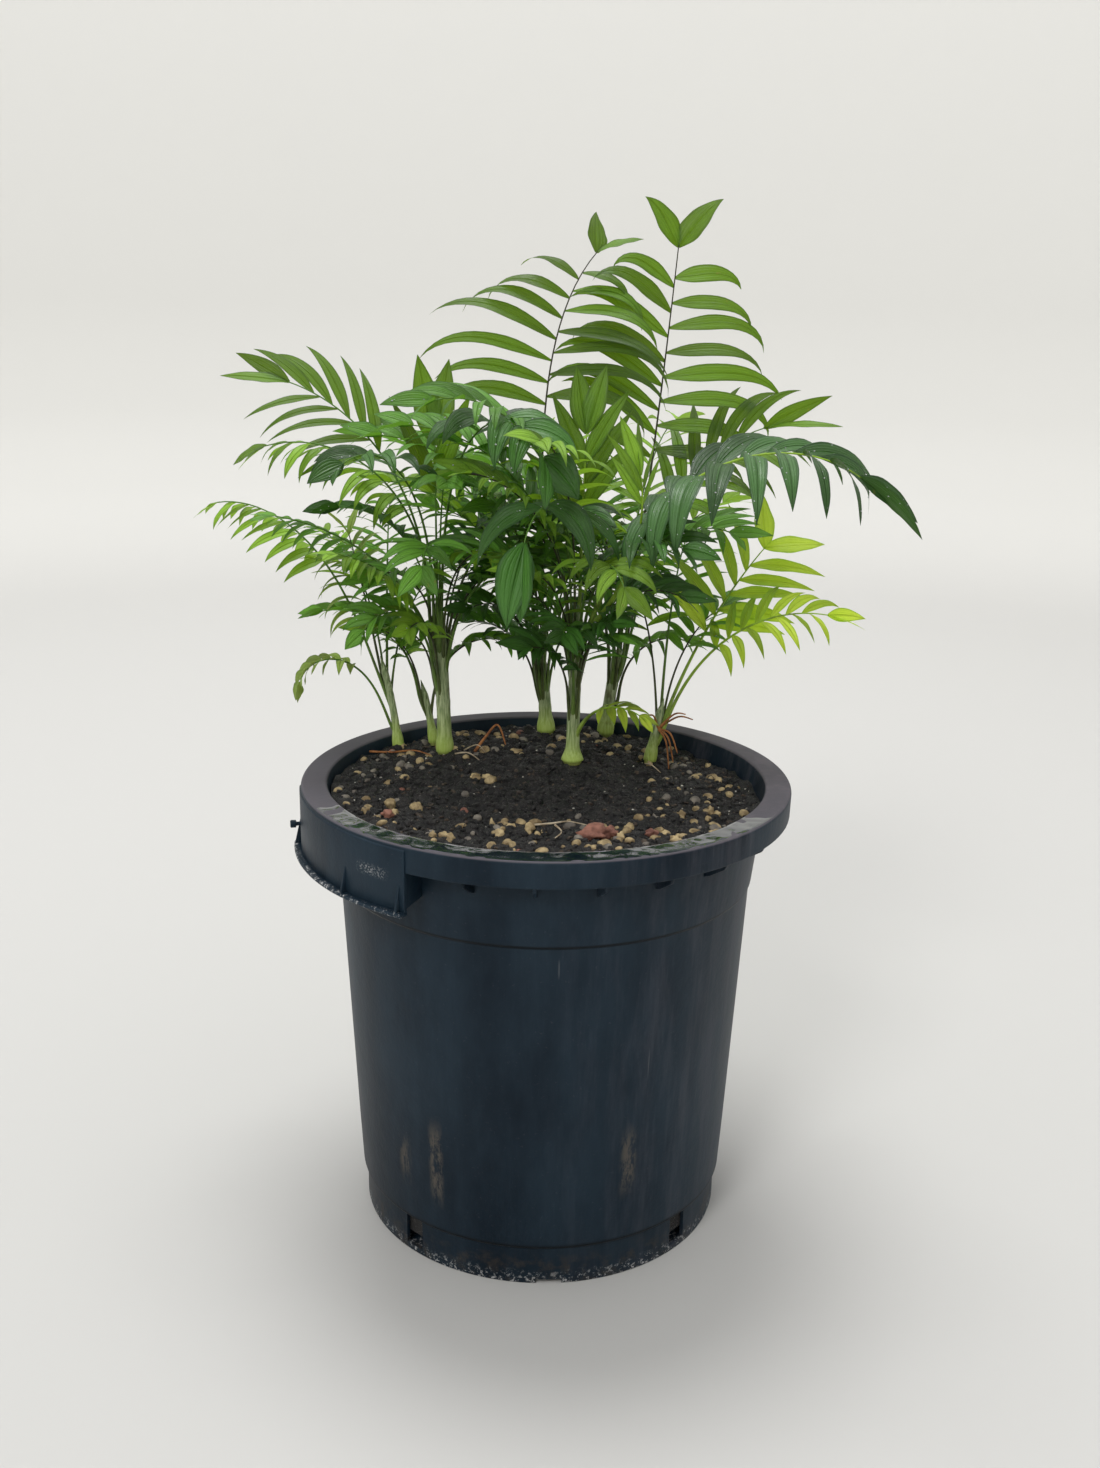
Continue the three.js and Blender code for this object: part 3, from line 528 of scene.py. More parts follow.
# %% Handles
def make_handle(bundle, azimuth):
    low, cheek_top = HANDLE_BOTTOM, RIM_BOTTOM + 1
    skin, back = RIM_OUTER + HANDLE_PROUD, RIM_OUTER - SKIRT_THICK + 0.5
    panel = [(back, low), (skin, low), (skin, POT_HEIGHT - 3.4), (skin - 0.9, POT_HEIGHT - 2.5),
             (back, POT_HEIGHT - 2.5)]
    swept(bundle, panel, azimuth, HANDLE_SWEEP)
    outer, under = skin + LIP_REACH, low - LIP_THICK / 2
    over = under + LIP_THICK
    lip = [(back - 0.4, under), (outer - 0.7, under), (outer, under + 0.7), (outer, over - 0.7),
           (outer - 0.7, over), (back - 0.4, over)]
    swept(bundle, lip, azimuth, HANDLE_SWEEP)
    rib = [(back + 0.4, low), (outer - 0.6, low), (outer - 1, low + 3),
           (skin - 0.4, low + RIB_HEIGHT), (back + 0.4, low + RIB_HEIGHT)]
    for angle in RIBS:
        radial_plate(bundle, rib, 1.8, azimuth + angle)
    hold = WALL_UNDER_RIM - WALL_THICK / 2 - 1
    cheek = [(hold, low + 4), (back + 1, low + 0.6), (back + 1, cheek_top), (hold + 2.5, cheek_top)]
    for angle in (1.2, HANDLE_SWEEP - 1.2):
        radial_plate(bundle, cheek, 2, azimuth + angle)


GUSSET = [(WALL_UNDER_RIM - 2, SKIRT_BOTTOM - 13), (WALL_UNDER_RIM + 3, SKIRT_BOTTOM - 11),
          (RIM_OUTER - 4, SKIRT_BOTTOM - 4), (RIM_OUTER - 1.6, SKIRT_BOTTOM + 1),
          (RIM_OUTER - 1.8, RIM_BOTTOM), (WALL_UNDER_RIM + 1, RIM_BOTTOM)]


def make_fittings():
    bundle = Bundle()
    for azimuth in HANDLES:
        make_handle(bundle, azimuth)
    for azimuth in range(-107, 254, 15):
        offsets = [(azimuth - start - HANDLE_SWEEP / 2 + 180) % 360 - 180 for start in HANDLES]
        if all(abs(offset) > 32 for offset in offsets):
            radial_plate(bundle, GUSSET, 2.2, azimuth)
    raw = thing_of("raw_fittings", mesh_of("raw", bundle))
    bevel = raw.modifiers.new("edges", "BEVEL")
    bevel.width, bevel.segments, bevel.limit_method = 0.35 * MM, 2, "ANGLE"
    declare(settled("pot_handles", raw, PLASTIC))


make_fittings()


# %% Peg
def make_peg():
    turn = np.radians(HANDLES[0] + 4)
    out = np.array([np.cos(turn), np.sin(turn), 0])
    path = [out * reach + [0, 0, 284] for reach in (163.5, 167.3, 168.2, 168.5, 171.6, 172.2)]
    bundle = Bundle()
    tube(bundle, path, [1.4, 1.3, 1.4, 2.5, 2.6, 2.1], 16)
    piece("pot_peg", bundle, PLASTIC, crease=40)


make_peg()

# %% [markdown]
# ## Pot: water on the rim
#
# Watering has left a film of water along the front of the flat rim. It mirrors the fronds in wavy
# bands. A bump on the plastic would bend its gloss too little, so the film is a thin sheet of its
# own, with real ripples. It dips under the plastic where the film ends.

# %% Water on the rim
FILM_FIRST, FILM_LAST, FILM_FADE = -152, -28, 14


def water_finish():
    f = Finish("water_film")
    place = f.place()
    tint = f.mix((16, 24, 32), (34, 42, 46), f.noise(place, 60, 2).ramp(0.3, 0.7))
    ripple = f.bump(f.noise(place, 240, 2), 0.0002, 0.4)
    return f.surface(Base_Color=tint, Roughness=0.05, IOR=1.5, Coat_Weight=0.6, Coat_IOR=1.6,
                     Coat_Roughness=0.03, Normal=ripple)


def make_film():
    turns = np.linspace(FILM_FIRST, FILM_LAST, 420)
    radii = np.linspace(RIM_INNER + 1, RIM_OUTER - 1.4, 26)
    rows = []
    for turn in turns:
        row = around(radii, POT_HEIGHT, np.full(len(radii), turn))
        ends = min(1, (turn - FILM_FIRST) / FILM_FADE, (FILM_LAST - turn) / FILM_FADE)
        for point, radius in zip(row, radii):
            edge = min(1, (radius - RIM_INNER - 1) / 2, (RIM_OUTER - 1.4 - radius) / 2)
            swell = noise.noise(Vector(point) * 0.045) * 0.5 + noise.noise(Vector(point) * 0.11) * 1.1
            point[2] += 0.45 * min(ends, edge) + 0.45 * swell * min(1, 2 * edge) - 0.12
        rows.append(row)
    bundle = Bundle()
    bundle.add(rows, [face[::-1] for face in grid(len(turns), len(radii))])
    piece("rim_water", bundle, water_finish())


make_film()

# %% [markdown]
# ## Soil
#
# The potting mix is damp, dark and crumbly. It lies a little lower towards the right and is heaped
# round the middle stem. The body is one closed piece: a fine disc of relief on top of a plain side
# that shows only through the drain slots. Loose crumbs, stones and fibres then lie on it.

# %% Height of the soil
SOIL_LEVEL, SOIL_EDGE, SOIL_BED = 303.5, 144.9, 12.4


def soil_height(x, y):
    share = np.clip((np.asarray(x) - 30) / 105, 0, 1)
    slope = 6.5 * share * share * (3 - 2 * share)
    heap = 4 * np.exp(-((x - 18) ** 2 + (y - 40) ** 2) / 50**2)
    uneven = 1.3 * np.sin(x / 17 + 1.3) * np.sin(y / 19 + 0.4)
    return SOIL_LEVEL - slope + heap + uneven


def crumbly_height(x, y):
    """The height with the roughness of the top: lumps of three sizes."""
    lumps = sum(size * noise.noise(Vector((x, y, 7 * size)) / (5.5 * size))
                for size in (2.2, 1.1, 0.6))
    return float(soil_height(x, y)) + (lumps * 1.7 - 0.8)


# %% Soil finishes
def soil_finish(name, dark, light):
    f = Finish(name)
    place = f.place()
    patches, grains = f.noise(place, 75, 5, 0.65), f.noise(place, 900, 4, 0.7)
    base = f.mix(dark, light, patches.ramp(0.35, 0.7) * 0.5 + grains.ramp(0.45, 0.75) * 0.5)
    shown = f.mix(base, (150, 144, 134), grains.ramp(0.62, 0.72) * 0.7)
    rough = 0.5 + patches * 0.4 - grains.ramp(0.55, 0.65) * 0.35
    return f.surface(Base_Color=shown, Roughness=rough,
                     Normal=f.bump(grains + patches, 0.0012, 0.9))


def stone_finish(name, dark, light):
    f = Finish(name)
    place, shade = f.place(), f.shade()
    grains, patches = f.noise(place, 700, 4, 0.65), f.noise(place, 160, 3)
    base = f.mix(dark, light, patches.ramp(0.35, 0.65) * 0.7 + grains * 0.25 + shade * 0.2)
    return f.surface(Base_Color=f.mix(base, (60, 48, 34), grains.ramp(0.62, 0.75) * 0.6),
                     Roughness=0.5 + grains * 0.4, Normal=f.bump(grains, 0.0008, 0.6))


MIX = soil_finish("potting_mix", (10, 10, 12), (58, 55, 53))
PEAT = soil_finish("peat_crumbs", (9, 9, 11), (58, 54, 52))
BARK = soil_finish("bark_crumbs", (48, 38, 32), (104, 88, 72))
FIBRE = soil_finish("fibres", (60, 50, 40), (132, 112, 90))
TAN = stone_finish("tan_stones", (104, 84, 54), (196, 174, 130))
GREY = stone_finish("grey_stones", (86, 80, 74), (140, 132, 120))
RED = stone_finish("red_stones", (88, 50, 42), (158, 108, 90))
WHITE = stone_finish("pale_grit", (178, 172, 160), (226, 222, 212))
print("soil and stones: 8 finishes")


# %% Body of the soil
def make_soil():
    sides, rings = 360, 108
    foot = FOOT_RADIUS - WALL_THICK - 0.4
    rows = circles([(foot, SOIL_BED), (foot, FOOT_TOP + 1),
                    (WALL_AT_FOOT - WALL_THICK - 0.3, FOOT_TOP + 34),
                    (WALL_AT_STEP - WALL_THICK - 0.3, STEP_HEIGHT),
                    (WALL_UNDER_RIM - WALL_THICK - 0.3, SKIRT_BOTTOM)], sides)
    top = circles([(SOIL_EDGE * (1 - ring / rings), 0) for ring in range(rings)], sides)
    for row in top:
        for point in row:
            point[2] = crumbly_height(*point[:2])
    bundle = Bundle()
    add_round(bundle, rows + top, SOIL_BED, crumbly_height(0, 0))
    piece("soil_body", bundle, MIX, ["soil"], crease=60)


make_soil()


# %% Top of the soil, to scatter on
def make_ground():
    reach = np.arange(-144, 145, 4.0)
    points = [(x, y, crumbly_height(x, y)) for x in reach for y in reach]
    faces = [[face[0], *face[:0:-1]] for face in grid(len(reach), len(reach))
             if all(math.hypot(*points[corner][:2]) < 143.6 for corner in face)]
    bundle = Bundle()
    bundle.add(points, faces)
    return thing_of("ground", mesh_of("ground", bundle))


ground = make_ground()

# %% [markdown]
# ## Scattering with Geometry Nodes
#
# Crumbs, stones and drops all repeat by the thousand over a surface. Particles could do it, but a
# Geometry Nodes tree is plain to read and gives the same result each time. It puts points on the
# surface, an icosphere on each, makes them real, dents them with noise so that no two are the same,
# and sets their material. Clearing is the radius of the middle that stays free, and Fade is how far
# its edge reaches. One tree serves all grains through its named inputs.

# %% The scattering tree
def scatter_tree():
    tree = bpy.data.node_groups.new("scatter", "GeometryNodeTree")
    kinds = {"Geometry": ["Surface"], "Int": ["Seed", "Roundness"], "Bool": ["Smooth"],
             "Float": ["Density", "Least", "Most", "Flatness", "Dent", "Clearing", "Fade"],
             "Material": ["Finish"]}
    for kind, names in kinds.items():
        for name in names:
            tree.interface.new_socket(name, in_out="INPUT", socket_type=f"NodeSocket{kind}")
    tree.interface.new_socket("Grains", in_out="OUTPUT", socket_type="NodeSocketGeometry")
    g = Board(tree)
    given = {name: g.node("NodeGroupInput", out=name) for names in kinds.values() for name in names}
    seed, most = given["Seed"], given["Most"]

    def dice(kind, seed, values, out):
        return g.node("FunctionNodeRandomValue", {"data_type": kind}, {**values, "Seed": seed}, out)

    position = g.node("GeometryNodeInputPosition")
    reach = g.vector("LENGTH", {0: g.stretch(position, (1, 1, 0))}, out="Value")
    share = (reach - given["Clearing"]) / given["Fade"]
    density = share.math("MAXIMUM", 0).math("MINIMUM", 1) * given["Density"]
    dots = g.node("GeometryNodeDistributePointsOnFaces", {},
                  {"Mesh": given["Surface"], "Density": density, "Seed": seed})
    grain = g.node("GeometryNodeMeshIcoSphere", {},
                   {"Radius": 1.0, "Subdivisions": given["Roundness"]})
    size = dice("FLOAT", seed, {2: given["Least"], 3: most}, 1)
    long = dice("FLOAT", seed + 5, {2: 0.75, 3: 1.35}, 1)
    shape = g.node("ShaderNodeCombineXYZ", {}, {0: size * long, 1: size, 2: size * given["Flatness"]})
    spin = dice("FLOAT_VECTOR", seed + 9, {0: (-0.5, -0.5, 0), 1: (0.5, 0.5, 6.28)}, 0)
    turn = g.node("FunctionNodeEulerToRotation", {}, {0: spin})
    many = g.node("GeometryNodeInstanceOnPoints", {},
                  {"Points": dots, "Instance": grain, "Rotation": turn, "Scale": shape})
    real = g.node("GeometryNodeRealizeInstances", {}, {0: many})
    wobble = g.noise(position, 0.55 / most, 1.0, 0.5, out=1)
    centred = g.vector("SUBTRACT", {0: wobble, 1: (0.5, 0.5, 0.5)})
    push = g.vector("SCALE", {0: centred, "Scale": given["Dent"] * most})
    dented = g.node("GeometryNodeSetPosition", {}, {"Geometry": real, "Offset": push})
    shaded = g.node("GeometryNodeSetShadeSmooth", {},
                    {"Geometry": dented, "Shade Smooth": given["Smooth"]})
    done = g.node("GeometryNodeSetMaterial", {}, {"Geometry": shaded, "Material": given["Finish"]})
    g.node("NodeGroupOutput", {}, {"Grains": done})
    return tree


SCATTER = scatter_tree()
print("scattering tree:", len(SCATTER.nodes), "nodes")


# %% Running the tree
def scatter(name, surface, slot, finish, density, least, most, seed, **more):
    """Scatters grains of least to most millimetres in radius, density to a square metre."""
    values = {"Density": density, "Least": least * MM, "Most": most * MM, "Seed": seed,
              "Finish": finish, "Flatness": 0.75, "Dent": 0.9, "Clearing": -1.0, "Fade": 0.001,
              "Roundness": 1, "Smooth": False, **more}
    carrier = thing_of("carrier", surface.data.copy())
    modifier = carrier.modifiers.new("scatter", "NODES")
    modifier.node_group = SCATTER
    for item in SCATTER.interface.items_tree:
        if item.name in values:
            modifier[item.identifier] = values[item.name]
    declare(settled(name, carrier))


# %% Crumbs and stones
STONE = dict(Fade=0.09, Roundness=2, Smooth=True)
for name, finish, density, least, most, seed, more in (
        ("crumbs_peat", PEAT, 60000, 0.8, 3.0, 3, dict(Dent=1.3)),
        ("crumbs_bark", BARK, 9000, 0.7, 2.4, 4, dict(Dent=1.2, Flatness=0.5)),
        ("fibres", FIBRE, 5200, 0.3, 1.0, 9, dict(Dent=1.6, Flatness=0.3)),
        ("grit_pale", WHITE, 2600, 0.35, 0.9, 5, {}),
        ("stones_tan", TAN, 4800, 1.5, 4.0, 6, dict(STONE, Clearing=0.06, Dent=0.55)),
        ("stones_grey", GREY, 2600, 1.4, 3.9, 7, dict(STONE, Clearing=0.05, Dent=0.55)),
        ("stones_red", RED, 500, 1.3, 3.0, 8, dict(STONE, Clearing=0.05, Dent=0.6))):
    scatter(name, ground, "soil", finish, density, least, most, seed, **more)

# %% [markdown]
# ## Stems
#
# Each stem is a slim, ringed cane with a swollen foot in the soil. Its lean grows with its height.
# A skin over rings is enough, and lines of a finer skin come from the finish.

# %% Stems: places and sizes
STEM_COLUMNS = ("x", "y", "azimuth", "lean", "height", "foot", "neck")
STEMS = {name: dict(zip(STEM_COLUMNS, row)) for name, row in {
    "left": (-109, 83, 150, (6, 18), 60, 4.2, 2.8),
    "front_left": (-74, 70, 175, (1, 4), 105, 6.2, 5.2),
    "side_shoot": (-84, 96, 170, (8, 14), 40, 3.9, 2.8),
    "back": (-1, 126, 180, (2, 8), 58, 6.8, 5),
    "centre": (18, 40, 0, (0, 2), 108, 8.2, 4.7),
    "back_right": (44, 128, 0, (5, 10), 62, 6.2, 4.7),
    "right": (74, 59, 20, (8, 14), 38, 4.6, 3.3),
}.items()}
FLARE_HEIGHT, SPEAR_HEIGHT, CLEAR = 9, 8, 0.3


def heading(azimuth, rise):
    a, e = math.radians(azimuth), math.radians(rise)
    return np.array([math.cos(a) * math.cos(e), math.sin(a) * math.cos(e), math.sin(e)])


def stem_point(stem, height):
    point, steps = np.array([stem["x"], stem["y"], SOIL_LEVEL], float), 40
    for i in range(steps):
        share = (i + 0.5) / steps * height / stem["height"]
        lean = stem["lean"][0] + (stem["lean"][1] - stem["lean"][0]) * share
        point += heading(stem["azimuth"], 90 - lean) * height / steps
    return point


def stem_radius(stem, height):
    flare = (stem["foot"] - stem["neck"]) * math.exp(-((max(height, 0) / FLARE_HEIGHT) ** 2))
    return stem["neck"] * (1 - 0.12 * height / stem["height"]) + flare


# %% Stems: finish and skin
def stem_finish():
    f = Finish("stem_green")
    along, place = f.blade()[1], f.place()
    streaks = f.noise(f.stretch(place, (1, 1, 0.08)), 900, 4, 0.6)
    patches = f.noise(place, 70, 4, 0.6)
    lines = streaks.ramp(0.34, 0.66) * 0.7 + patches * 0.3
    body = f.mix((78, 106, 54), (200, 212, 164), lines)
    fresh = f.mix(body, (182, 208, 84), along.ramp(0.42, 0.05) * 0.7)
    scar = patches.ramp(0.56, 0.66) * streaks.ramp(0.6, 0.4) * 0.8
    scars = f.mix(fresh, (92, 78, 46), scar)
    shown = f.mix(scars, (104, 86, 54), along.ramp(0.09, 0.0) * 0.6)
    return f.surface((150, 180, 60), 0.08, Base_Color=shown, Roughness=0.36 + patches * 0.25,
                     Specular_IOR_Level=0.35, Normal=f.bump(streaks, 0.0004, 0.7))


STEM_GREEN = stem_finish()


def make_stem(name, stem):
    top = stem["height"] + SPEAR_HEIGHT
    sunk = float(soil_height(stem["x"], stem["y"])) - SOIL_LEVEL - 1.6
    heights = [sunk, sunk + 1.6, *np.linspace(sunk + 2.6, 14, 6),
               *np.linspace(17, stem["height"], 22), top - 5, top - 2, top]
    radii = []
    for height in heights:
        radius = stem_radius(stem, height)
        bulge = 0.12 * stem["foot"] * math.exp(-(((height - 7) / 5) ** 2))
        rings = 0.05 * stem["neck"] * sum(math.exp(-(((height - r) / 1.6) ** 2))
                                          for r in (20, 38, 57, 80))
        spear = max(0.05, min(1, (top - height) / 12)) ** 0.8
        radii.append((radius + bulge + rings) * spear * (0.82 if height <= sunk + 1.6 else 1))
    bundle = Bundle()
    tube(bundle, [stem_point(stem, height) for height in heights], radii, 20)
    piece(f"stem_{name}_skin", bundle, STEM_GREEN, [f"stem_{name}"], crease=75)


for name, stem in STEMS.items():
    make_stem(name, stem)

# %% [markdown]
# ## Fronds: the rule
#
# A frond is a stalk and midrib that climbs from its stem and bends over, with leaflets in pairs. Its
# curve is summed up in short steps from a few angles. Each row below holds one frond: its stem, the
# height it leaves it at, azimuth, rise at the foot, rise at the tip, length, longest leaflet, widest
# leaflet, pairs of leaflets and the bare share of its length. The rest is as in the usual frond,
# unless a row says otherwise. A row marked alone gets no younger fronds beside it.

# %% Fronds: the rows
USUAL = dict(bend=1.4, sweep=0, roll=0, open=66, close=32, skew=0, fork=26, hang=50, late=1.6,
             vee=14, feather=28, tip=0.75, narrow=1, stalk=1.5, tone="mid", wood="green")
COLUMNS = ("stem", "start", "azimuth", "rise", "fall", "length", "leaf", "width", "pairs", "bare")
FRONDS = []


def frond_row(*values, **more):
    return {**USUAL, **dict(zip(COLUMNS, values)), **more}


def frond(*values, **more):
    stem, seed = values[0], len(FRONDS) + 1
    node = f"frond_{stem}_{sum(other['stem'] == stem for other in FRONDS) + 1}"
    FRONDS.append(frond_row(*values, **more, seed=seed, node=node))


frond("back_right", 60, 20, 83, 85, 297, 90, 11.5, 9, 0.48, roll=-70, open=72, close=66, skew=13,
      fork=32, hang=96, late=3.2, vee=4, feather=30, tip=0.6, tone="sunny", wood="dark")
frond("back", 55, 75, 94, 43, 308, 98, 11, 8, 0.6, bend=3.1, sweep=-40, roll=-35, open=80, close=74,
      fork=36, hang=90, late=2.4, vee=12, feather=30, tip=0.4, tone="sunny", wood="dark")
frond("front_left", 103, 166, 88, 16, 200, 70, 7.5, 6, 0.54, bend=1.3, roll=46, open=46, skew=-15,
      fork=14, hang=44, feather=8, tip=0.9, tone="sunny")
frond("front_left", 95, 200, 90, -15, 195, 46, 7.5, 10, 0.42, bend=1.5, sweep=-5, roll=8, skew=-4,
      hang=60, vee=-24, tone="fresh", alone=True)
frond("left", 48, 184, 71, -11, 190, 38, 7.5, 10, 0.5, bend=2.3, sweep=-20, roll=4, skew=-4,
      vee=-36, tone="fresh", alone=True)
frond("front_left", 80, 192, 76, 10, 148, 36, 7, 10, 0.42, bend=0.9, roll=6, skew=-4, vee=-16)
frond("left", 52, 144, 76, 70, 105, 46, 5, 9, 0.35, roll=20, hang=110, feather=60, tone="pale",
      wood="dark")
frond("left", 20, 200, 70, -80, 98, 24, 6, 7, 0.5, bend=2.2, hang=90, tone="pale")
frond("front_left", 62, 215, 80, -60, 86, 32, 7, 6, 0.4, bend=1.8, roll=20)
frond("front_left", 100, 296, 88, -50, 236, 60, 15, 6, 0.5, bend=1.9, sweep=10, open=75, hang=85,
      tone="dark")
frond("front_left", 104, 100, 88, 80, 115, 70, 13, 2, 0.66, open=20, close=16, fork=10, hang=10,
      feather=0, tip=1, tone="sunny")
frond("front_left", 98, 244, 88, -20, 190, 46, 8.5, 6, 0.52, bend=1.6, fork=18, hang=75,
      tone="dark")
frond("front_left", 74, 335, 78, -15, 128, 44, 6.5, 8, 0.32, alone=True)
frond("front_left", 86, 25, 80, 0, 140, 44, 6.5, 8, 0.32, hang=45, tone="deep", wood="dark")
frond("centre", 96, 350, 70, -34, 245, 82, 20, 9, 0.36, bend=1.7, roll=-6, open=92, close=28,
      skew=20, fork=12, hang=88, late=1.5, tip=0.85, narrow=0.45, tone="blue", wood="fresh",
      thick=2.0)
frond("centre", 106, 80, 87, 76, 125, 62, 12, 4, 0.5, open=34, close=18, fork=12, hang=16,
      feather=6, tip=1, tone="sunny", wood="fresh")
frond("centre", 55, 262, 84, -15, 92, 46, 6.5, 8, 0.34, roll=20, tone="dark")
frond("centre", 104, 249, 88, -60, 158, 62, 16, 3, 0.5, bend=1.7, open=74, close=44, fork=9,
      hang=105, late=0.9, tip=1, stalk=1.2, tone="dark")
frond("centre", 102, 219, 88, -10, 218, 58, 8, 9, 0.42, bend=1.8, roll=15, hang=70, stalk=1.2)
frond("centre", 98, 316, 80, -20, 124, 48, 8, 8, 0.36, roll=-15, hang=60, tone="dark", alone=True)
frond("centre", 98, 184, 86, 5, 190, 52, 7, 9, 0.4, roll=20, hang=55)
frond("centre", 78, 335, 76, -18, 96, 44, 6.5, 8, 0.32, roll=-15, hang=60, tone="dark", wood="dark")
frond("centre", 84, 205, 78, -12, 125, 48, 6.5, 8, 0.32, roll=15, hang=48)
frond("back_right", 58, -8, 79, 18, 208, 70, 8, 7, 0.55, bend=2.4, roll=-50, open=50, skew=6,
      fork=14, hang=60, late=1.4, tip=1, tone="sunny")
frond("back_right", 62, 71, 80, 5, 235, 60, 8, 8, 0.4, tone="fresh")
frond("back_right", 60, 112, 82, 0, 235, 60, 8, 8, 0.4, tone="fresh")
frond("back_right", 60, 312, 84, -10, 165, 52, 7, 10, 0.38, bend=1.5, roll=-15, alone=True)
frond("back_right", 30, 350, 84, -15, 76, 34, 6, 6, 0.42, hang=75, wood="dark", alone=True)
frond("back", 57, 205, 86, 5, 225, 54, 7.5, 10, 0.4, bend=1.6, roll=20, hang=55)
frond("back", 58, 158, 82, 5, 225, 58, 8, 9, 0.4)
frond("back", 56, 118, 80, -10, 230, 60, 8, 9, 0.4)
frond("back", 50, 285, 86, -10, 190, 52, 8, 9, 0.4, bend=1.7, hang=60, tone="dark")
frond("back", 42, 232, 78, -10, 112, 46, 6.5, 8, 0.32, roll=15, hang=48, tone="dark", wood="dark")
frond("back", 50, 40, 80, 0, 150, 48, 7, 8, 0.35, tone="deep")
frond("right", 30, 21, 70, 47, 142, 58, 12, 6, 0.46, bend=1, roll=-62, open=62, close=46, fork=44,
      hang=26, tip=0.95, tone="bright", wood="fresh")
frond("right", 20, 350, 73, -8, 158, 40, 6.2, 8, 0.45, roll=-30, open=68, close=42, skew=8,
      fork=14, hang=60, tip=0.9, tone="bright", wood="fresh")
frond("right", 34, 75, 80, 20, 150, 46, 7, 7, 0.48)
frond("left", 50, 94, 80, 5, 165, 46, 7, 8, 0.48)
frond("side_shoot", 38, 195, 80, -10, 105, 34, 6.5, 7, 0.4)
frond("side_shoot", 30, 345, 82, -20, 90, 32, 6.5, 6, 0.45, hang=75, wood="dark", alone=True)
frond("centre", 30, 318, 58, -30, 54, 25, 6, 5, 0.36, bend=1.2, sweep=24, roll=-10, vee=0,
      feather=0, tone="bright", wood="fresh")
frond("back", 56, 252, 88, 0, 175, 50, 8, 6, 0.4, bend=1.6, hang=60)
frond("back_right", 56, 245, 88, 0, 160, 50, 8, 6, 0.4, bend=1.6, hang=60, tone="fresh")
frond("centre", 94, 288, 84, -40, 120, 48, 8, 6, 0.36, bend=1.3, hang=60, tone="fresh", alone=True)
frond("front_left", 92, 268, 86, -35, 130, 48, 8, 6, 0.36, bend=1.3, hang=60)
print(len(FRONDS), "fronds with", 2 * sum(row["pairs"] for row in FRONDS), "leaflets")

# %% [markdown]
# The plain solids hold only the main fronds, to save faces. A real clump is a tangle inside. So each
# frond within the crown gets two younger ones beside it, by the same rule: turned to both sides,
# shorter and lower, and of a neighbouring tone. One upright shoot on the centre stem is added too.

# %% Fronds: the younger ones
NEXT_TONE = {"mid": "fresh", "dark": "mid", "deep": "dark", "fresh": "mid"}


def younger(row, turn, size):
    return dict(row, azimuth=row["azimuth"] + turn, length=row["length"] * size,
                start=row["start"] * (0.78 + 0.2 * size), fall=row["fall"] * 0.5 + 8,
                leaf=row["leaf"] * (0.7 + 0.3 * size), width=row["width"] * 0.9,
                seed=row["seed"] + round(100 * size), stalk=1.2,
                tone=row["tone"] if size < 0.7 else NEXT_TONE[row["tone"]],
                wood="dark" if row["seed"] % 2 else row["wood"])


INNER = [row for row in FRONDS
         if row["tone"] in NEXT_TONE and row["width"] < 11 and "alone" not in row]
ALL_FRONDS = FRONDS + [younger(row, turn, size)
                       for row in INNER for turn, size in ((34, 0.82), (-38, 0.66))]
ALL_FRONDS.append(frond_row("centre", 97, 322, 46, 102, 124, 46, 7, 3, 0.8, open=40, close=22,
                            fork=12, hang=14, feather=6, tip=1, stalk=2.3, tone="fresh",
                            wood="fresh", seed=71))
print(len(ALL_FRONDS), "fronds in all")


# %% Fronds: midrib and leaflets
def chance(seed, i, k):
    value = math.sin(seed * 12.9898 + i * 78.233 + k * 37.719) * 43758.5453
    return value - math.floor(value)


def midrib_frame(row, share):
    """The directions along, to the right of, and up from a frond at a share of its length."""
    rise = row["rise"] + (row["fall"] - row["rise"]) * share ** row["bend"]
    azimuth = row["azimuth"] + row["sweep"] * share
    along, level, roll = heading(azimuth, rise), heading(azimuth - 90, 0), math.radians(row["roll"])
    above = np.cross(level, along)
    right = level * math.cos(roll) + above * math.sin(roll)
    return along, right, above * math.cos(roll) - level * math.sin(roll)


def midrib_line(row, steps=60):
    stem = STEMS[row["stem"]]
    away = stem_radius(stem, row["start"]) + row["stalk"] + CLEAR
    line = [stem_point(stem, row["start"]) + heading(row["azimuth"], 0) * away]
    for i in range(steps):
        line.append(line[-1] + midrib_frame(row, (i + 0.5) / steps)[0] * row["length"] / steps)
    return np.array(line)


def point_on(line, share):
    place = share * (len(line) - 1)
    i = min(int(place), len(line) - 2)
    return line[i] + (line[i + 1] - line[i]) * (place - i)


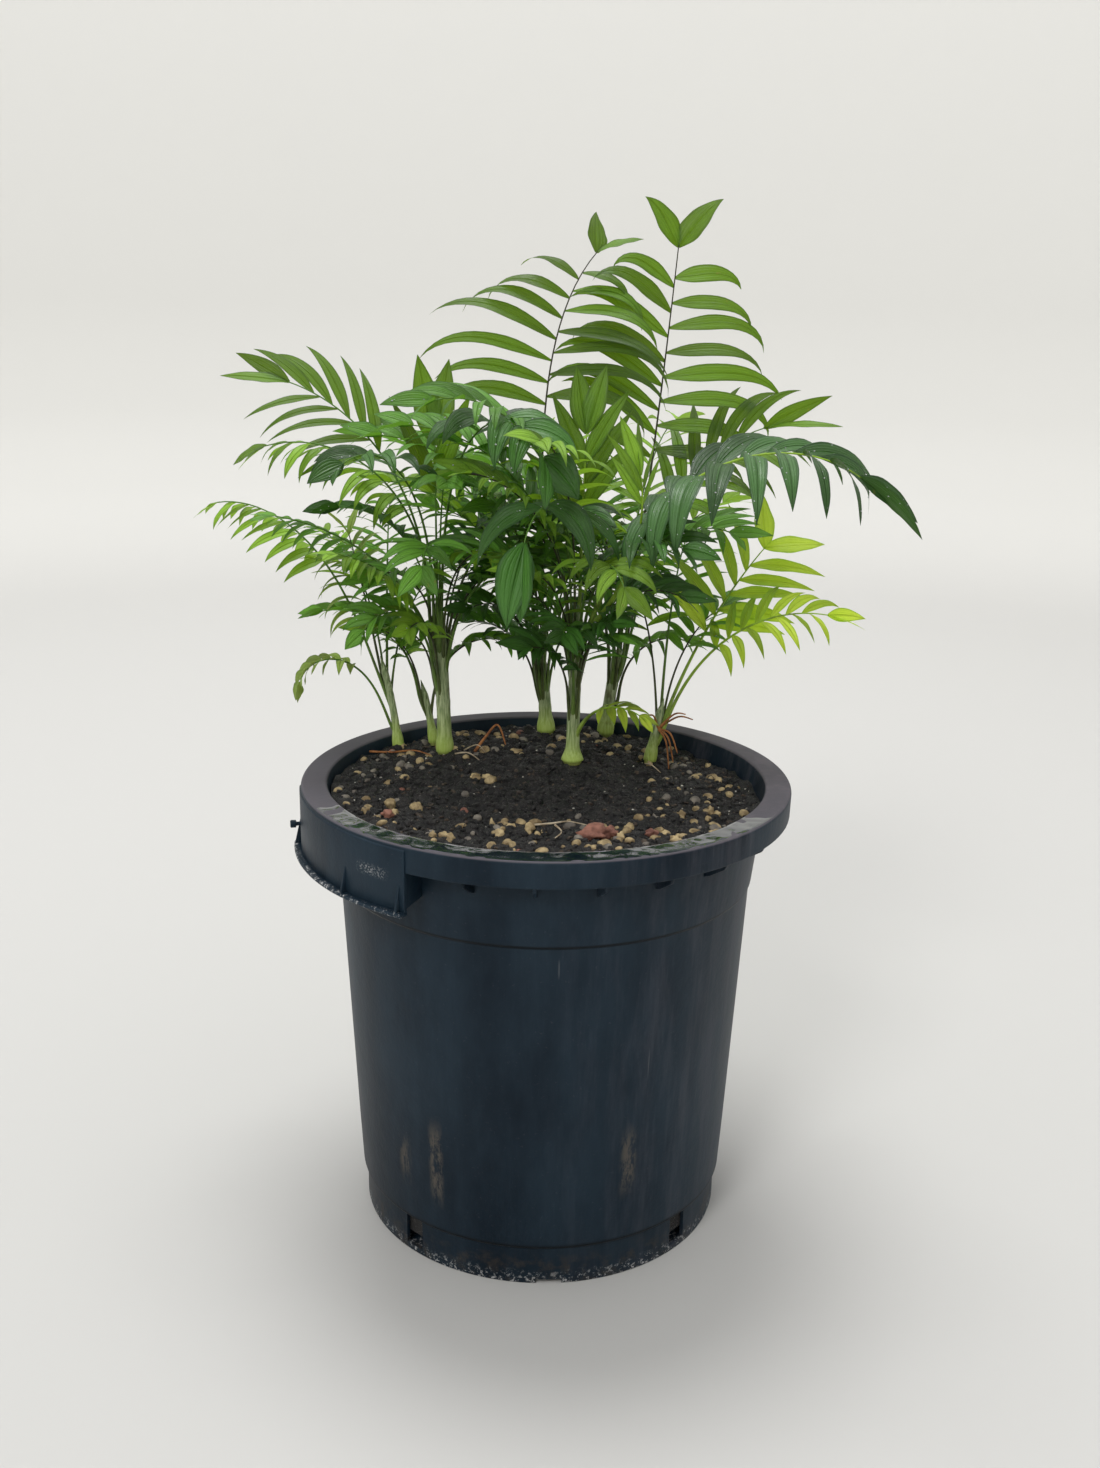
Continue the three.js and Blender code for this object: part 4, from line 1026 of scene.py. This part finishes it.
def leaflet(row, line, pair, side, steps):
    """One leaflet: its width, length, middle line, width directions and dice."""
    last, place = pair == row["pairs"] - 1, (pair + 0.5) / row["pairs"]
    dice = [chance(row["seed"], pair * 2 + (side > 0), k) for k in range(6)]
    share = 0.995 if last else row["bare"] + (1 - row["bare"]) * (place + 0.18 * side / row["pairs"])
    along, right, up = midrib_frame(row, share)
    spread = row["open"] * (1 - place) + row["close"] * place + (dice[0] - 0.5) * 12
    angle = math.radians(row["fork"] if last else spread + side * row["skew"])
    swell = 0.72 + 0.28 * math.sin(math.pi * min(1, place * 0.85 + 0.15))
    shrink = 1 - (1 - row["tip"]) * max(0, place - 0.4) / 0.6
    length = row["leaf"] * swell * (0.92 + 0.16 * dice[1]) * shrink
    thin = 1 - (1 - row["narrow"]) * place
    width = row["width"] * (0.9 + 0.2 * dice[2]) * thin * (1.4 if last else 1)
    vee, feather = math.radians(row["vee"] * math.sin(angle)), math.radians(row["feather"])
    flat = along * math.cos(angle) + right * side * math.sin(angle)
    start = flat * math.cos(vee) + up * math.sin(vee)
    edge = unit(along - start * along.dot(start))
    face = np.cross(start, edge) * side
    across = edge * math.cos(feather) - face * math.sin(feather)
    azimuth = math.degrees(math.atan2(start[1], start[0]))
    climb = math.degrees(math.asin(np.clip(start[2], -1, 1)))
    hang = row["hang"] * (0.7 + 0.6 * dice[3]) * (0.3 if last else 1)
    middle, widths = [point_on(line, share)], [across]
    for i in range(steps):
        ahead = heading(azimuth, max(climb - hang * ((i + 0.5) / steps) ** row["late"], -87))
        middle.append(middle[-1] + ahead * length / steps)
        widths.append(unit(across - ahead * across.dot(ahead)))
    return width, length, np.array(middle), np.array(widths), dice


# %% [markdown]
# ## Fronds: blades
#
# A leaflet is a thin blade, narrow where it joins the midrib, widest before its middle and drawn out
# to a point. It is folded a little along its main nerve, its sides arch down, and its tip may twist.
# A curve with a bevel could not fold, so each blade is a small grid of faces. Its across and along
# marks let the finish draw nerves that run the right way.

# %% Blades
BLADE_STEPS, BLADE_WIDE, BLADE_HALF, TWIST = 14, 6, 0.55, 60


def blade_outline(along):
    """Half the blade's width at each share of its length, against the widest."""
    rising = 1 - (1 - np.minimum(along, 0.36) / 0.36) ** 1.9
    falling = 1 - (np.maximum(along - 0.36, 0) / 0.64) ** 1.7
    return np.maximum(np.where(along < 0.36, 0.15 + 0.85 * rising, falling), 0.015)


def add_blade(bundle, row, line, pair, side):
    width, length, middle, widths, dice = leaflet(row, line, pair, side, BLADE_STEPS)
    along = np.linspace(0, 1, BLADE_STEPS + 1)
    normal = np.cross(directions(middle), widths)
    if normal[0][2] < 0:
        normal = -normal
    half = blade_outline(along)[:, None, None] * width * BLADE_HALF
    twist = np.radians((dice[4] - 0.5) * TWIST * along**1.5)[:, None]
    wide = widths * np.cos(twist) + normal * np.sin(twist)
    over = normal * np.cos(twist) - widths * np.sin(twist)
    s = np.linspace(-1, 1, BLADE_WIDE + 1)[None, :, None]
    fold = (0.46 - 0.26 * along)[:, None, None] * np.abs(s) - 0.2 * s * s
    ripple = 0.05 * np.sin(along * 17 + dice[5] * 6)[:, None, None] * s**2 * np.sign(s)
    sickle = (dice[5] - 0.35) * 0.05 * length * along**2
    centre = (middle + wide * sickle[:, None])[:, None, :]
    points = centre + wide[:, None, :] * s * half + over[:, None, :] * (fold + ripple) * half
    u, v = np.meshgrid(np.linspace(0, 1, BLADE_WIDE + 1), along)
    marks = np.stack([u, v, np.full_like(u, dice[4])], -1)
    bundle.add(points, grid(BLADE_STEPS + 1, BLADE_WIDE + 1), marks)


# %% Leaf finishes
def leaf_finish(name, tone, edge, through, share, gloss=0.34):
    f = Finish(name)
    across, along = f.blade()
    place, shade = f.place(), f.shade()
    out = (across * 2 - 1).math("ABSOLUTE")
    patches, fine = f.noise(place, 38, 4, 0.6), f.noise(place, 420, 3)
    nerves = (across * 44).math("SINE").ramp(0.0, 1.0)
    main = out.ramp(0.12, 0.0)
    dark, light = [(*[min(1, c * k) for c in linear(tone)[:3]], 1) for k in (0.36, 1.95)]
    base = f.mix(dark, light, (patches * 0.4 + shade * 0.55 + fine * 0.15).ramp(0.15, 0.95))
    lined = f.mix(base, light, nerves * 0.14 + main * 0.6)
    rimmed = f.mix(lined, edge, out.ramp(0.62, 1.0) * 0.7 + along.ramp(0.78, 1.0) * 0.3)
    spots = f.noise(place, 120, 2).ramp(0.74, 0.78)
    shown = f.mix(rimmed, (150, 118, 52), spots * 0.4)
    relief = nerves * 0.45 + main * -1.6 + fine * 0.5
    return f.surface(through, share, Base_Color=shown, Normal=f.bump(relief, 0.0007, 0.9),
                     Roughness=gloss + patches * 0.2 + fine * 0.1, Specular_IOR_Level=0.45)


# The tones of whole fronds differ partly by age and partly as painted light: the bright and sunny
# tones paint lit and back-lit fronds, and the dark, deep and blue tones paint fronds in shade
LEAVES = {name: leaf_finish(f"leaf_{name}", *row) for name, row in {
    "bright": ((174, 216, 60), (112, 156, 42), (190, 232, 52), 0.42),
    "sunny": ((76, 110, 22), (32, 58, 16), (140, 178, 22), 0.3),
    "fresh": ((120, 158, 50), (52, 88, 30), (156, 200, 46), 0.34),
    "mid": ((92, 140, 50), (38, 78, 28), (122, 180, 46), 0.32),
    "dark": ((56, 96, 36), (24, 54, 22), (84, 138, 36), 0.24, 0.3),
    "deep": ((46, 84, 30), (18, 46, 18), (66, 116, 28), 0.2, 0.32),
    "blue": ((58, 92, 46), (24, 54, 30), (86, 132, 46), 0.18, 0.28),
    "pale": ((132, 156, 76), (96, 122, 52), (166, 190, 70), 0.3, 0.4),
}.items()}
print(len(LEAVES), "tones of leaf")


# %% Blades of each tone
def make_blades(tone):
    bundle = Bundle()
    for row in ALL_FRONDS:
        if row["tone"] == tone:
            line = midrib_line(row)
            for pair in range(row["pairs"]):
                for side in (-1, 1):
                    add_blade(bundle, row, line, pair, side)
    nodes = [row["node"] for row in FRONDS if row["tone"] == tone]
    return piece(f"blades_{tone}", bundle, LEAVES[tone], nodes)


blades = {tone: make_blades(tone) for tone in LEAVES}

# %% [markdown]
# ## Fronds: stalks
#
# The stalk of a frond starts as a sheath round the stem, leaves it steeply and thins into the
# midrib. It is a tube along the curve that the leaflets use. Its lower end slides into the stem, so
# that the stem looks wrapped. Most stalks are green, and some are nearly purple.

# %% Stalks
SHEATH_STEPS, KNEE = 8, 9


def stalk_finish(name, low, high, share):
    f = Finish(name)
    along, place = f.blade()[1], f.place()
    streaks = f.noise(f.stretch(place, (1, 1, 0.15)), 700, 3)
    tone = f.mix(low, high, along.ramp(0.05, 0.7))
    dull = f.mix(tone, (48, 58, 28), f.noise(place, 60, 3).ramp(0.5, 0.7) * 0.6)
    shown = f.mix(dull, (150, 160, 90), streaks.ramp(0.55, 0.8) * 0.35)
    return f.surface((150, 180, 60), share, Base_Color=shown, Roughness=0.36 + streaks * 0.2,
                     Specular_IOR_Level=0.35, Normal=f.bump(streaks, 0.0002, 0.5))


def stalk_path(row):
    """From inside the stem, out through the sheath, and on along the midrib."""
    stem, line = STEMS[row["stem"]], midrib_line(row)
    low = max(2.0, row["start"] - min(26, 0.6 * row["start"]))
    start, knee = stem_point(stem, low), line[0] - midrib_frame(row, 0)[0] * KNEE
    t = np.linspace(0, 1, SHEATH_STEPS)[:-1, None]
    sheath = (1 - t) ** 2 * start + 2 * t * (1 - t) * knee + t**2 * line[0]
    share = np.concatenate([np.full(len(sheath), -1.0), np.linspace(0, 1, len(line[::2]))])
    wrap = stem_radius(stem, row["start"]) * 0.62
    thick = row.get("thick", row["stalk"]) * (0.95 if row["wood"] == "fresh" else 0.75)
    radii = []
    for i, s in enumerate(share):
        thin = 0.4 + (thick - 0.4) * (1 - max(s, 0)) ** 1.1
        inside = i / len(sheath) if s < 0 else 1
        flare = max(0, 1 - s * row["length"] / 20) ** 2 if s >= 0 else 1
        radii.append(thin + (wrap - row["stalk"]) * ((1 - inside) ** 1.5 + 0.12 * inside * flare))
    return np.concatenate([sheath, line[::2]]), radii


def make_stalks(wood, *finish):
    bundle = Bundle()
    for row in ALL_FRONDS:
        if row["wood"] == wood:
            tube(bundle, *stalk_path(row), 8)
    piece(f"stalks_{wood}", bundle, stalk_finish(*finish))


make_stalks("green", "stalk_green", (108, 134, 66), (84, 126, 40), 0.1)
make_stalks("fresh", "stalk_fresh", (150, 174, 84), (150, 188, 50), 0.12)
make_stalks("dark", "stalk_purple", (84, 96, 52), (56, 52, 40), 0.03)

# %% [markdown]
# ## Drops
#
# Fine drops from watering still lie on the leaves. They are scattered by the same tree, as small
# smooth beads of water, only partly clear and painted near-white as a painted glint.

# %% Drops
def drop_finish():
    f = Finish("water_drops")
    # Painted glint: the drops are near-white and only partly see-through
    tint = f.mix((232, 238, 236), (250, 252, 252), f.noise(f.place(), 300, 1))
    return f.surface(Base_Color=tint, Roughness=0.05, IOR=1.33, Transmission_Weight=0.55)


DROP = drop_finish()
DENSITIES = {"dark": 5200, "blue": 9000, "mid": 2600, "fresh": 2200, "deep": 2600}
for tone, density in DENSITIES.items():
    scatter(f"drops_{tone}", blades[tone], "fronds", DROP, density, 0.25, 0.75, 20, Dent=0.1,
            Flatness=0.8, Smooth=True)

# %% [markdown]
# ## Litter
#
# A few dried bits lie on the soil: shrivelled strands at the foot of the right stem, longer brown
# ones and pale roots. Each follows its own short path.

# %% Litter
def on_soil(x, y, lift):
    return np.array([x, y, float(soil_height(x, y)) + lift])


def dry_finish(name, low, high):
    f = Finish(name)
    place = f.place()
    patches = f.noise(place, 150, 4, 0.65)
    return f.surface(high, 0.12, Base_Color=f.mix(low, high, patches.ramp(0.3, 0.7)),
                     Roughness=0.6 + patches * 0.3,
                     Normal=f.bump(f.noise(place, 600, 3), 0.0006, 0.7))


def strand(bundle, corners, radius):
    path = smooth_path(corners)
    tube(bundle, path, np.linspace(radius, radius * 0.45, len(path)), 6)


dry, roots = Bundle(), Bundle()
stump = stem_point(STEMS["right"], 24)
for reach in ((20, -6, 12), (26, 2, 6), (12, -10, -22), (9, -12, -27), (-10, -8, 10), (15, -9, -16)):
    tip = stump + np.array(reach, float)
    strand(dry, [stump + [1, -2, 0], (stump + tip) / 2 + [2, -3, 6], tip], 0.9)
for bundle, radius, corners in (
        (dry, 1.2, [(-52, 66, 1), (-45, 74, 9), (-36, 76, 18), (-30, 70, 5)]),
        (dry, 0.9, [(-128, 66, 1), (-112, 60, 3), (-96, 70, 2), (-84, 60, 1)]),
        (roots, 0.8, [(-12, -88, 0.5), (4, -92, 3), (14, -84, 2), (26, -86, 1)]),
        (roots, 0.7, [(6, -92, 2), (10, -104, 2), (6, -112, 1)]),
        (roots, 0.7, [(-66, 62, 1), (-56, 52, 5), (-48, 48, 1)]),
        (roots, 0.6, [(-60, 70, 1), (-50, 60, 8), (-44, 62, 1)]),
        (roots, 0.6, [(70, 50, 1), (74, 40, 4), (80, 34, 1)])):
    strand(bundle, [on_soil(*corner) for corner in corners], radius)
piece("litter_dry", dry, dry_finish("dried_leaf", (120, 66, 34), (196, 134, 78)))
piece("litter_roots", roots, dry_finish("pale_root", (150, 128, 100), (212, 198, 172)))

# %% [markdown]
# ## Larger stones
#
# The tree scatters evenly, but a few larger stones lie in groups. So these are placed one by one:
# each is an icosphere dented by noise. A few reddish chunks lie among them.

# %% Larger stones
def lump(bundle, x, y, half, seed, rough=0.5):
    """A dented stone on the soil, from its half lengths along three axes."""
    ball = bmesh.new()
    bmesh.ops.create_icosphere(ball, subdivisions=3, radius=1)
    centre, shift = on_soil(x, y, half[2] * 0.3), Vector((seed * 3.1, seed * 1.7, 0))
    points = []
    for vertex in ball.verts:
        dent = noise.noise(vertex.co * 1.3 + shift) + 0.5 * noise.noise(vertex.co * 3.4 + shift)
        points.append(centre + np.array(vertex.co) * half * (1 + rough * dent))
    bundle.solid(points, [[vertex.index for vertex in face.verts] for face in ball.faces],
                 [[0, 0, chance(seed, 1, 4)]] * len(points))
    ball.free()


stones, bricks = Bundle(), Bundle()
for x, y, spread, count in ((-41, 11, 9, 4), (0, -94, 10, 3), (-34, -94, 14, 4), (-66, -106, 12, 3),
                            (48, -98, 15, 4), (78, -84, 16, 5), (-96, -60, 22, 5),
                            (106, -40, 22, 5), (96, 40, 24, 6)):
    for k in range(count):
        place = [c + spread * (2 * chance(x, k, axis) - 1) for axis, c in enumerate((x, y))]
        half = [1.7 + 2.1 * chance(x, k, axis + 2) for axis in range(3)]
        lump(stones, *place, half, abs(x) + k)
for x, y, half, seed in ((31, -101, (10, 6, 5), 3), (40, -98, (5, 4, 3.5), 5),
                         (66, -92, (4, 3, 3), 7), (-100, -70, (3.5, 3, 2.5), 9)):
    lump(bricks, x, y, half, seed, 0.9)
piece("pebbles_tan", stones, TAN)
piece("chunk_red", bricks, RED)

# %% [markdown]
# ## Studio
#
# The pot stands in a wide pale bowl: a flat floor whose edge curves up on every side, so that no
# horizon shows from anywhere. A large soft light hangs above and a little behind, which makes the
# thin leaves glow, and a weaker one fills in from the front.

# %% Studio
BOWL = [(0.001, 0), (2200, 0), (2420, 25), (2600, 90), (2730, 200), (2810, 370), (2850, 620),
        (2870, 2050)]
AIM = Vector((0, 0, 0.35))


def make_studio():
    bundle = Bundle()
    bundle.add(circles(BOWL, 120), grid(len(BOWL), 120, closed=True))
    f = Finish("pale_paper")
    x, y, z = f.axes(f.place())
    reach = (x * x + y * y).math("SQRT")
    paper = f.mix((201, 200, 197), (218, 217, 213), reach.ramp(2.3, 2.87))
    material = f.surface(Base_Color=paper, Roughness=0.9)
    thing_of("floor", mesh_of("floor", bundle), material)


def make_light(name, place, size, power):
    light = thing_of(name, bpy.data.lights.new(name, "AREA"))
    light.data.shape, light.data.size, light.data.energy = "DISK", size, power
    light.location = place
    light.rotation_mode = "QUATERNION"
    light.rotation_quaternion = (AIM - Vector(place)).to_track_quat("-Z", "Y")


make_studio()
make_light("top_light", (-0.3, 1.3, 4.6), 2.0, 128)
make_light("front_light", (-1.8, -3.8, 3.8), 1.6, 92)
world = bpy.data.worlds.new("studio")
world.use_nodes = True
sky = world.node_tree.nodes["Background"].inputs
sky["Color"].default_value, sky["Strength"].default_value = (0.97, 0.98, 1.0, 1), 0.6
bpy.context.scene.world = world
bpy.context.scene.view_settings.view_transform = "Standard"

# %% Clearing away the ground
bpy.data.objects.remove(ground)
